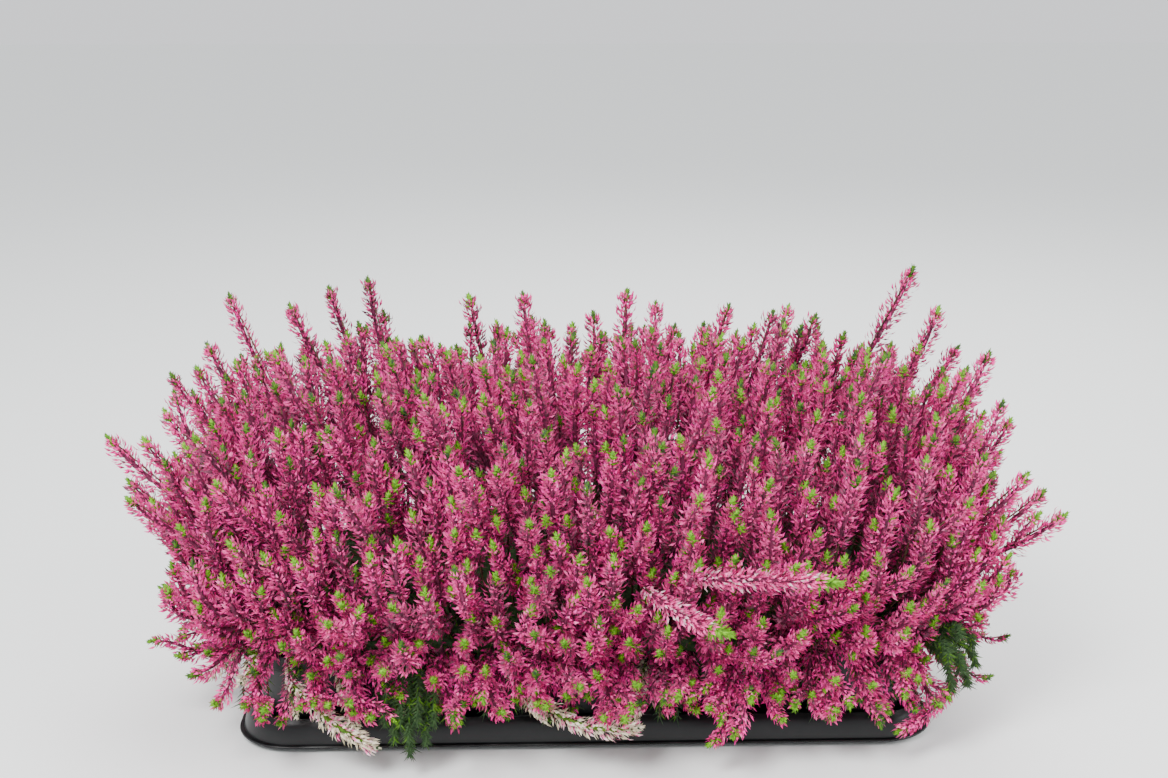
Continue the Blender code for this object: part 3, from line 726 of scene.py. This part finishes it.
def fillers(draw):
    """Curves of the shorter shoots between the main ones, and whether each is low down or deep in the mass. They
    stand more upright, so that their tips lie over one another like shingles on the front, back and ends. Each
    is the seeded draw farthest from the others."""
    tips = [tip for _, _, tip in place_shoots()]
    for _ in range(FILLER_COUNT):
        area = str(draw.choice(list(FILLER_SHARES), p=list(FILLER_SHARES.values())))
        long_reach, cross_range = TOP_RANGES.get(area, SIDE_RANGES)
        choices = []
        for _ in range(FILLER_CHOICES):
            place = skin_place(area, draw.uniform(-long_reach, long_reach), draw.uniform(*cross_range))
            inward = draw.uniform(0.02, 0.26) if area in TOP_RANGES else draw.uniform(0.0, 0.20)
            choices.append((place + (np.array([place[0] * 0.75, 0, 0.13]) - place) * inward, inward))
        spread = [np.linalg.norm(np.array(tips) - tip, axis=1).min() for tip, _ in choices]
        tip, inward = choices[int(np.argmax(spread))]
        tips.append(tip)
        foot = np.array([np.clip(tip[0], -0.27, 0.27) * 0.90, np.clip(0.55 * tip[1], -0.085, 0.085), 0.100])
        out = unit((tip - foot) * LEVEL + np.array([1e-5, 0, 0]))
        low = np.clip((0.150 - tip[2]) / 0.08, 0, 1)
        steep = math.radians(draw.normal(76 - 38 * low, 9) - (8 if area in ("left", "right") else 0))
        beside = np.array([-out[1], out[0], 0]) * draw.normal(0, 0.20)
        ending = unit(math.cos(steep) * out + math.sin(steep) * UP + beside)
        first = foot + 0.5 * (tip - foot) * np.array([1, 1, 0.2]) + 0.010 * UP
        second = tip - min(0.5 * np.linalg.norm(tip - foot), 0.055) * ending
        yield bent((foot, first, second, tip), 30), tip[2] < 0.24 and area not in TOP_RANGES, inward > 0.11


def add_heart(growth, column, half, side, draw):
    """The dark, leafy inside of one spray: a rough mound of old leaves with needles standing out of it."""
    low = -1 + (2 * column + half) / COLUMNS
    us, vs = low + np.linspace(0, 1 / COLUMNS, 6), side * np.linspace(0, 1, 10)
    top = np.array([[fan_line(u, v, [HEART_TOP])[0] for v in vs] for u in us])
    foot = np.array([[foot_point(u, v) - 0.006 * UP for v in vs] for u in us])
    rough = draw.normal(0, HEART_ROUGHNESS, top.shape)
    rough[[0, -1]] = 0
    rough[:, 0] = 0
    top = top + rough
    points = np.concatenate([top.reshape(-1, 3), foot.reshape(-1, 3)])
    rows, row, layer = len(us), len(vs), len(us) * len(vs)
    faces = []
    for i in range(rows - 1):
        for j in range(row - 1):
            a, b, c, d = i * row + j, (i + 1) * row + j, (i + 1) * row + j + 1, i * row + j + 1
            faces += [(a, b, c), (a, c, d), (a + layer, c + layer, b + layer), (a + layer, d + layer, c + layer)]
    edge = [i * row for i in range(rows)] + [(rows - 1) * row + j for j in range(1, row)]
    edge += [i * row + row - 1 for i in range(rows - 2, -1, -1)] + list(range(row - 2, 0, -1))
    for a, b in zip(edge, edge[1:] + edge[:1]):
        faces += [(b, a, a + layer), (b, a + layer, b + layer)]
    faces = np.array(faces)
    growth.add(points[None], faces[:, ::-1] if side < 0 else faces, np.array([DARK]))
    count = HEART_NEEDLES
    spots = [(draw.uniform(us[0], us[-1]), side * draw.uniform(0, 1)) for _ in range(count)]
    ends = np.array([fan_line(u, v, [HEART_TOP - 0.03, HEART_TOP]) for u, v in spots])
    ways = unit(unit(ends[:, 1] - ends[:, 0]) + draw.normal(0, 0.55, (count, 3)))
    kinds = draw.choice([DARK, DARK, MOSS, DUSK], count)
    add_needles(growth, ends[:, 0], ways, draw.uniform(0.008, 0.016, count), np.full(count, 0.0022), kinds, draw)


def make_sprays():
    """The fine flower sprays: each takes the place of one CAD spray."""
    draw = np.random.default_rng(LOOK_SEED)
    growths = {}
    shares = np.linspace(0.03, 1, 40)
    tones = ["bright", "middle", "dull"]
    for column, half, side in [(c, h, s) for _, c, s, _, _ in pot_places() for h in (0, 1)]:
        growths[column, half, side] = Growth()
        add_heart(growths[column, half, side], column, half, side, draw)
    for u, v, tip in place_shoots():
        growth = growths[spray_of(u, v)]
        line = shoot_line(u, v, tip, shares)
        high, low_front = tip[2] > 0.27, tip[2] < 0.19
        tone = str(draw.choice(tones, p=(0.15, 0.5, 0.35) if high else (0.55, 0.35, 0.10)))
        tuft = LIME if draw.uniform() < (0.35 if high else 0.85) else MOSS
        add_spire(growth, line, draw, SPIRE_RADIUS * draw.normal(1, 0.07), tone, bare=0.42, tuft=tuft, needles=30)
        for _ in range(int(draw.choice([0, 1, 2], p=(0.25, 0.5, 0.25)))):
            spike = side_spike(line, draw.uniform(0.50, 0.84), draw, low_front)
            add_spire(growth, spike, draw, SIDE_RADIUS * draw.normal(1, 0.08), tone, density=0.95, tuft=tuft)
    for line, low, deep in fillers(draw):
        # Shoots set deep in the mass take the duller, darker tones more often: painted shade
        odds = (0.10, 0.45, 0.45) if deep else (0.60, 0.32, 0.08) if low else (0.20, 0.50, 0.30)
        tone = str(draw.choice(tones, p=odds))
        tuft = LIME if draw.uniform() < (0.85 if low else 0.45) else MOSS
        flowered = draw.uniform(0.056, 0.080) / lengths_along(line)[-1]
        growth = growths[spray_of(line[0][0] / FOOT_HALF[0], line[0][1] / FOOT_HALF[1])]
        add_spire(growth, line, draw, SPIRE_RADIUS * draw.normal(0.97, 0.12), tone, bare=max(1 - flowered, 0.05),
                  tuft=tuft, needles=12)
    for label, column, side, _, _ in pot_places():
        for half, hand in enumerate(("left", "right")):
            piece = growths[column, half, side].write(f"spikes_{label}_{hand}")
            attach(piece, "root")
            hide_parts(f"flower_spray_{label}_{hand}")


# Low shoots of the front that the photograph shows one by one: where each starts and ends, the way it ends in,
# its radius, tone and tip. The places in these tables are in millimetres.
FRONT_LOW = (
    ((-196, -95, 88), (-221, -148, 57), (-0.5, -0.8, 0.3), 0.0070, "bright", LIME),
    ((-205, -98, 80), (-176, -150, 40), (0.4, -0.8, -0.3), 0.0066, "cream", CREAM),
    ((-180, -90, 90), (-178, -158, 58), (0.0, -0.9, 0.4), 0.0085, "bright", LIME),
    ((-120, -95, 88), (-98, -153, 46), (0.5, -0.8, 0.2), 0.0072, "bright", LIME),
    ((-100, -95, 88), (-94, -170, 100), (0.1, -0.5, 0.9), 0.0085, "bright", LIME),
    ((-70, -95, 85), (-62, -146, 46), (0.3, -0.8, 0.1), 0.0070, "bright", MOSS),
    ((-75, -98, 72), (-28, -142, 42), (0.8, -0.4, 0.1), 0.0062, "cream", MOSS),
    ((50, -98, 74), (30, -154, 42), (-0.3, -0.8, -0.1), 0.0070, "cream", MOSS),
    ((15, -90, 90), (23, -158, 67), (0.1, -0.9, 0.4), 0.0080, "bright", LIME),
    ((52, -92, 86), (63, -150, 52), (0.2, -0.9, 0.2), 0.0078, "bright", PINK),
    ((118, -92, 84), (90, -163, 30), (-0.8, -0.4, -0.2), 0.0080, "bright", LIME),
    ((110, -92, 90), (100, -158, 61), (-0.2, -0.7, 0.5), 0.0080, "bright", LIME),
    ((130, -95, 86), (148, -160, 48), (0.5, -0.8, 0.1), 0.0078, "bright", LIME),
    ((168, -94, 86), (178, -157, 49), (0.2, -0.9, 0.1), 0.0080, "bright", PINK),
    ((205, -90, 90), (221, -156, 56), (0.2, -0.9, 0.4), 0.0086, "bright", LIME),
    ((245, -92, 84), (252, -142, 46), (0.3, -0.8, -0.1), 0.0076, "bright", LIME),
    ((-255, -85, 88), (-306, -128, 76), (-0.8, -0.5, 0.2), 0.0088, "bright", MOSS),
    ((-245, -92, 88), (-262, -150, 60), (-0.3, -0.8, 0.3), 0.0076, "bright", LIME),
    ((-150, -94, 88), (-142, -152, 68), (0.2, -0.8, 0.4), 0.0074, "bright", LIME),
    ((-30, -94, 88), (-40, -156, 72), (-0.2, -0.8, 0.4), 0.0074, "middle", LIME),
    ((75, -94, 88), (78, -154, 78), (0.1, -0.8, 0.5), 0.0074, "middle", LIME),
    ((240, -90, 88), (262, -140, 70), (0.4, -0.8, 0.3), 0.0074, "bright", LIME),
)

# Long spikes that lie across the front of the mass: radius, tone and the control points of each one's curve
LYING = (
    (0.0092, "silver", ((70, -160, 165), (92, -192, 176), (140, -196, 179), (177, -199, 176))),
    (0.0098, "silver", ((40, -158, 158), (56, -186, 150), (78, -194, 142), (100, -198, 137))),
    (0.0098, "cream", ((-230, -122, 68), (-208, -144, 52), (-186, -153, 37), (-160, -155, 27))),
    (0.0092, "cream", ((-48, -128, 60), (-22, -150, 43), (10, -158, 36), (40, -156, 43))),
    (0.0086, "bright", ((302, -78, 66), (294, -106, 48), (264, -134, 35), (236, -146, 30))),
)

# Thin shoots at the right end: where each starts and ends
THIN = (
    ((262, -20, 90), (337, -60, 120)), ((262, -40, 88), (341, -70, 76)), ((262, -10, 92), (312, -50, 135)),
    ((262, -50, 86), (330, -50, 98)), ((262, -60, 80), (318, -110, 60)), ((262, 20, 88), (335, 10, 105)),
    ((262, 50, 88), (338, 60, 85)),
)

# Tips of the dark leafy shoots that hang over the front rim and beside the right end
LEAFY_HANG = (
    (-136, -157, 22), (-148, -154, 32), (-124, -155, 30), (-143, -156, 46), (-130, -158, 48), (-155, -150, 44),
    (-118, -152, 44), (-137, -160, 36), (289, -128, 74), (299, -118, 90), (306, -104, 66), (281, -134, 60),
    (310, -96, 100), (276, -138, 86), (296, -122, 58), (286, -130, 102),
)

# Other low growth: the height that it starts at, the twigs on each pot and the crumbs on each root ball. At the
# corners, which are the places beyond CORNER_FROM, no flowering shoot hangs below CORNER_LOWEST.
LOW_START = 0.088
TWIGS = 15
CRUMBS = 150
CORNER_FROM = 0.25
CORNER_LOWEST = 0.064

# Room: place, turn in degrees, size and power of each light, and the photograph's camera
LIGHTS = (
    ("key_light", (-0.75, -1.35, 1.75), (42, 0, -28), 0.9, 66),
    ("fill_light", (1.45, -0.85, 1.15), (56, 0, 58), 1.2, 24),
    ("back_light", (0.35, 1.35, 1.55), (-42, 0, -14), 1.2, 22),
)
CAMERA_PLACE = (-0.0347, -1.3255, 0.643)
CAMERA_DIP = 15.9
CAMERA_TURN = -1.5


def metres(place):
    return np.array(place) / 1000


def drooped(start, end, ending):
    """A curve that rises a little from its start, leans over the pot's rim and ends in the given way."""
    start, end, ending = np.array(start), np.array(end), unit(np.array(ending, float))
    span = np.linalg.norm(end - start)
    out = unit((end - start) * LEVEL)
    return bent((start, start + 0.40 * span * unit(out + 0.55 * UP), end - 0.38 * span * ending, end))


def edge_places(draw, along_x, along_y):
    """Starts and ways of low shoots all round the plants: so many along each long side and each end."""
    half_x, half_y = FOOT_HALF
    for way_y in (1.0, -1.0):
        for x in np.linspace(-half_x, half_x, along_x):
            yield (x, way_y * half_y, LOW_START), np.array([draw.normal(0, 0.35), way_y, 0])
    for way_x in (-1.0, 1.0):
        for y in np.linspace(-0.080, 0.085, along_y):
            yield (way_x * half_x, y, LOW_START), np.array([way_x, draw.normal(0, 0.35), 0])


def nearest_pot(point):
    return min(pot_places(), key=lambda pot: math.hypot(pot[3] - point[0], pot[4] - point[1]))[0]


def add_twigs(growth, x, y, draw):
    """A plant's stock, with low leafy twigs round it."""
    middle = (LEAF_DISC_TOP + LEAF_DISC_FOOT) / 2
    stock = np.array([(x, y, STOCK_FOOT), (x + 0.001, y, 0.075), (x, y, middle)])
    add_stem(growth, stock, 0.0050, 0.0036)
    for number in range(TWIGS):
        turn = GOLDEN * number + draw.normal(0, 0.2)
        reach = draw.uniform(0.026, 0.046)
        out = np.array([math.cos(turn), math.sin(turn), 0])
        foot = np.array([x, y, draw.uniform(0.072, middle)])
        end = np.array([x, y, 0]) + reach * out + UP * draw.uniform(0.088, 0.116)
        line = bent((foot, foot + 0.5 * reach * out + 0.006 * UP, end - 0.012 * UP, end), 12)
        add_leafy_shoot(growth, line, [0, 4, 8, 11], (0.0011, 0.0006), draw, 0.12, 60, 0.0065, 0.0012, MOSS, 0.8)


def make_low_growth():
    """Leafy twigs on every pot, and the low shoots that lean over the pots and the tray's rim."""
    draw = np.random.default_rng(LOOK_SEED + 1)
    growths = {}
    stops, radii = [0, 8, 16, 25], (0.0010, 0.0005)
    for label, _, _, x, y in pot_places():
        growths[label] = Growth()
        add_twigs(growths[label], x, y, draw)
    for start, end, ending, radius, tone, tuft in FRONT_LOW:
        line = drooped(metres(start), metres(end), ending)
        add_spire(growths[nearest_pot(line[0])], line, draw, 1.15 * radius, tone, bare=0.14, tuft=tuft, needles=24,
                  density=1.7 if tone == "cream" else 1.1)
    for start, way in edge_places(draw, 42, 14):
        out = unit(way)
        end = np.array(start) + out * draw.uniform(0.036, 0.066) - UP * draw.uniform(0.008, 0.054)
        if abs(end[0]) > CORNER_FROM:
            end[2] = max(end[2], CORNER_LOWEST)
        line = drooped(start, end, out * 0.8 + UP * draw.uniform(-0.2, 0.9))
        tone = str(draw.choice(["bright", "middle", "cream"], p=(0.6, 0.33, 0.07)))
        add_spire(growths[nearest_pot(start)], line, draw, 0.0088 * draw.normal(1, 0.1), tone, bare=0.16,
                  tuft=CREAM if tone == "cream" else LIME, needles=16)
    for start, end in THIN:
        line = drooped(metres(start), metres(end), (0.6, -0.3, 0.7))
        add_spire(growths[nearest_pot(line[0])], line, draw, 0.0060, "middle", bare=0.5, density=0.9, tuft=MOSS,
                  needles=150)
    for tip in map(metres, LEAFY_HANG):
        line = drooped((min(tip[0] * 0.98, FOOT_HALF[0]), -0.095, 0.084), tip, (0.0, -0.4, -0.9))
        add_leafy_shoot(growths[nearest_pot(tip)], line, stops, radii, draw, 0.1, 190, 0.0085, 0.0019, DARK)
    for start, way in edge_places(draw, 60, 18):
        out = unit(way)
        end = np.array(start) + out * draw.uniform(0.022, 0.044) + UP * draw.uniform(-0.056, -0.010)
        line = drooped(np.array(start) - 0.006 * UP, end, out * 0.7 - UP * draw.uniform(0.1, 0.9))
        add_leafy_shoot(growths[nearest_pot(start)], line, stops, radii, draw, 0.05, 66, 0.0080, 0.0017)
    for radius, tone, points in LYING:
        line = bent(metres(points))
        add_spire(growths[nearest_pot(line[0])], line, draw, radius, tone, density=1.6,
                  tuft=CREAM if tone == "cream" else LIME, tip_scale=1.7 if tone == "silver" else None)
    for label, growth in growths.items():
        piece = growth.write(f"leafy_growth_{label}")
        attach(piece, "root")
        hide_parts(f"leafy_base_{label}")


def plastic_material():
    """Black plastic: smooth, with a little dust and fine handling marks."""
    black = Surface("black_moulding", ((0.0050, 0.0052, 0.0058), (0.0110, 0.0112, 0.0118)), (0.42, 0.78), 0.10, 0.0004,
                    Specular_IOR_Level=0.34)
    marks = black.pattern("TexNoise", Scale=38.0, Detail=6.0, Roughness=0.62)
    rough = black.add("MapRange", To_Min=0.24, To_Max=0.42)
    black.join(marks, "Fac", black.tint, "Fac")
    black.join(marks, "Fac", rough, "Value")
    black.join(rough, "Result", black.shader, "Roughness")
    black.join(marks, "Fac", black.bump, "Height")
    return black.made


def soil_material():
    """Peat: dark brown fibres with a crumbly surface."""
    peat = Surface("peat", ((0.018, 0.011, 0.007), (0.090, 0.055, 0.032)), (0.30, 0.75), 0.9, 0.0015, Roughness=0.95)
    crumbs, fibre = peat.pattern("TexVoronoi", Scale=320.0), peat.pattern("TexNoise", Scale=140.0, Detail=8.0)
    peat.join(fibre, "Fac", peat.tint, "Fac")
    peat.join(crumbs, "Distance", peat.bump, "Height")
    return peat.made


def new_object(name, points, faces, made):
    """A solid of this material with its faces turned outwards."""
    mesh = bpy.data.meshes.new(name)
    mesh.from_pydata(points, [], faces)
    solid = bmesh.new()
    solid.from_mesh(mesh)
    bmesh.ops.recalc_face_normals(solid, faces=solid.faces)
    solid.to_mesh(mesh)
    solid.free()
    mesh.materials.append(made)
    obj = bpy.data.objects.new(name, mesh)
    bpy.context.scene.collection.objects.link(obj)
    return obj


def ring_faces(count, sides):
    """Faces of a solid made of rings of corners, closed at both ends."""
    faces = [tuple(range(sides))[::-1]]
    for ring in range(count - 1):
        low, high = ring * sides, (ring + 1) * sides
        for i in range(sides):
            j = (i + 1) % sides
            faces.append((low + i, low + j, high + j, high + i))
    faces.append(tuple(range((count - 1) * sides, count * sides)))
    return faces


def turned(name, profile, sides, made, place):
    """A round solid from (radius, height) pairs."""
    points = []
    for radius, height in profile:
        for i in range(sides):
            angle = 2 * math.pi * i / sides
            points.append((place[0] + radius * math.cos(angle), place[1] + radius * math.sin(angle), height))
    return new_object(name, points, ring_faces(len(profile), sides), made)


def rounded_ring(inset, height, steps):
    """The tray's outline, drawn in by this inset, with this many steps to each corner."""
    half_x, half_y = TRAY_LENGTH / 2 - inset, TRAY_DEPTH / 2 - inset
    radius = TRAY_CORNER - inset
    points = []
    for quarter, (sign_x, sign_y) in enumerate(((1, 1), (-1, 1), (-1, -1), (1, -1))):
        centre_x, centre_y = sign_x * (half_x - radius), sign_y * (half_y - radius)
        for step in range(steps + 1):
            angle = math.pi / 2 * (quarter + step / steps)
            points.append((centre_x + radius * math.cos(angle), centre_y + radius * math.sin(angle), height))
    return points


def eased(points, rounds=2):
    """Cuts the corners of an open outline, keeping its ends."""
    for _ in range(rounds):
        cut = [points[0]]
        for a, b in zip(points, points[1:]):
            cut.append((0.75 * a[0] + 0.25 * b[0], 0.75 * a[1] + 0.25 * b[1]))
            cut.append((0.25 * a[0] + 0.75 * b[0], 0.25 * a[1] + 0.75 * b[1]))
        points = cut + [points[-1]]
    return points


def boolean(target, others, operation):
    """Adds the other solids to the target or cuts them out of it, and removes them."""
    group = bpy.data.collections.new("boolean_group")
    bpy.context.scene.collection.children.link(group)
    for other in others:
        bpy.context.scene.collection.objects.unlink(other)
        group.objects.link(other)
    modifier = target.modifiers.new("join", "BOOLEAN")
    modifier.operation = operation
    modifier.operand_type = "COLLECTION"
    modifier.collection = group
    modifier.solver = "EXACT"
    bpy.context.view_layer.update()
    joined = bpy.data.meshes.new_from_object(target.evaluated_get(bpy.context.evaluated_depsgraph_get()))
    target.modifiers.clear()
    target.data = joined
    for other in others:
        bpy.data.objects.remove(other, do_unlink=True)
    bpy.data.collections.remove(group)


def make_tray(made):
    """The tray with a smooth rolled shoulder and round cups, over the same outline as the CAD tray."""
    top, foot, skin, steps = TRAY_HEIGHT, FLANGE_FOOT, TRAY_SKIN, 14
    # (inset, height) from the deck over the shoulder, round the flange and back underneath
    shoulder = eased(((0.0112, top), (0.0070, top - 0.0046), (0.0048, top - 0.0120), (0.0036, foot + skin)))
    under = eased(((0.0050, foot), (0.0063, top - 0.0124), (0.0082, top - 0.0058), (0.0113, top - skin)))
    profile = [(0.0140, DECK_TOP), (0.0136, top - 0.0012), (0.0132, top - 0.0003), (0.0124, top), *shoulder,
               (0.0030, foot + skin), (0.0004, foot + skin), (0.0, foot + 0.7 * skin), (0.0, foot), *under,
               (0.0124, DECK_TOP - skin)]
    points = [p for inset, height in profile for p in rounded_ring(inset, height, steps)]
    tray = new_object("tray_sheet", points, ring_faces(len(profile), 4 * (steps + 1)), made)
    wells = [(x, y, CUP_RADIUS_LOW, CUP_RADIUS_HIGH, 40) for _, _, _, x, y in pot_places()]
    wells.append((0, 0, CENTRE_FOOT_RADIUS, CENTRE_FOOT_RADIUS + 0.002, 24))
    cups, hollows, drains = [], [], []
    for x, y, low, high, sides in wells:
        outer = ((low + 0.0010, 0.0), (high + 0.0010, DECK_TOP - skin / 2))
        inner = ((low, CUP_FLOOR), (high, DECK_TOP + 0.0001))
        cups.append(turned("cup", outer, sides, made, (x, y)))
        hollows.append(turned("hollow", inner, sides, made, (x, y)))
        if low == CUP_RADIUS_LOW:
            drain = ((DRAIN_RADIUS_TRAY, -0.01), (DRAIN_RADIUS_TRAY, DECK_TOP))
            drains.append(turned("drain", drain, 24, made, (x, y)))
    boolean(tray, cups, "UNION")
    boolean(tray, hollows, "DIFFERENCE")
    boolean(tray, drains, "DIFFERENCE")
    tray.data.shade_smooth()
    tray.data.set_sharp_from_angle(angle=math.radians(38))
    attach(tray, "root")
    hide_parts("tray")


def make_pots(made):
    """Round pots with a rolled collar and a beaded rim."""
    wall = POT_WALL
    for label, _, _, x, y in pot_places():
        profile = (
            (POT_RADIUS_LOW - 0.001, POT_FOOT), (POT_RADIUS_LOW, POT_FOOT + 0.001),
            (POT_RADIUS_NECK - 0.0002, POT_COLLAR - 0.0006), (POT_RADIUS_COLLAR - 0.0006, POT_COLLAR),
            (POT_RADIUS_COLLAR, POT_COLLAR + 0.0006), (POT_RADIUS_TOP - 0.0004, POT_TOP - 0.0030),
            (POT_RADIUS_TOP, POT_TOP - 0.0022), (POT_RADIUS_TOP, POT_TOP - 0.0006),
            (POT_RADIUS_TOP - 0.0006, POT_TOP), (POT_RADIUS_TOP - wall, POT_TOP - 0.0003),
            (POT_RADIUS_NECK - wall, POT_COLLAR), (POT_RADIUS_LOW - wall, POT_FOOT + CUP_FLOOR),
        )
        pot = turned(f"nursery_pot_{label}", profile, 56, made, (x, y))
        drain = ((DRAIN_RADIUS_POT, -0.01), (DRAIN_RADIUS_POT, POT_FOOT + 0.01))
        boolean(pot, [turned("drain", drain, 20, made, (x, y))], "DIFFERENCE")
        pot.data.shade_smooth()
        pot.data.set_sharp_from_angle(angle=math.radians(35))
        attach(pot, "root")
        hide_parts(f"pot_{label}")


def make_soil(made):
    """Root balls keep their CAD form. Loose crumbs of peat lie on each."""
    draw = np.random.default_rng(LOOK_SEED + 2)
    count = CRUMBS
    for label, _, _, x, y in pot_places():
        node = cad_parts[f"soil_{label}"]
        node.data.materials.clear()
        node.data.materials.append(made)
        turn, reach = draw.uniform(0, 2 * math.pi, count), 0.045 * np.sqrt(draw.uniform(0.05, 1, count))
        feet = np.stack([x + reach * np.cos(turn), y + reach * np.sin(turn), np.full(count, SOIL_TOP)], axis=1)
        ways = unit(draw.normal(0, 1, (count, 3)) * np.array([1, 1, 0.35]))
        growth = Growth()
        add_crumbs(growth, feet, ways, draw.uniform(0.0015, 0.0045, count), draw)
        piece = growth.write(f"peat_crumbs_{label}")
        piece.data.materials[0] = made
        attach(piece, "root")


def make_room():
    """A plain pale floor, soft light and the photograph's camera."""
    bpy.ops.mesh.primitive_plane_add(size=14, location=(0, 0, -0.0002))
    floor = bpy.context.object
    floor.name = "pale_floor"
    made = bpy.data.materials.new("pale_floor")
    made.use_nodes = True
    shader = made.node_tree.nodes["Principled BSDF"]
    shader.inputs["Base Color"].default_value = (0.95, 0.972, 0.955, 1)
    shader.inputs["Roughness"].default_value = 0.7
    floor.data.materials.append(made)
    world = bpy.data.worlds.new("soft_room")
    bpy.context.scene.world = world
    world.use_nodes = True
    sky = world.node_tree.nodes["Background"]
    sky.inputs["Color"].default_value = (0.86, 0.87, 0.90, 1)
    sky.inputs["Strength"].default_value = 1.25
    for name, place, turn, size, power in LIGHTS:
        light = bpy.data.lights.new(name, "AREA")
        light.shape, light.size, light.energy = "DISK", size, power
        holder = bpy.data.objects.new(name, light)
        holder.location = place
        holder.rotation_euler = [math.radians(angle) for angle in turn]
        bpy.context.scene.collection.objects.link(holder)
    lens = bpy.data.cameras.new("photo_camera")
    lens.lens, lens.sensor_width = 52.4, 36.0
    camera = bpy.data.objects.new("photo_camera", lens)
    camera.location = CAMERA_PLACE
    camera.rotation_euler = (math.radians(90 - CAMERA_DIP), 0, math.radians(CAMERA_TURN))
    bpy.context.scene.collection.objects.link(camera)
    bpy.context.scene.camera = camera


make_sprays()
make_low_growth()
black = plastic_material()
make_tray(black)
make_pots(black)
make_soil(soil_material())
make_room()
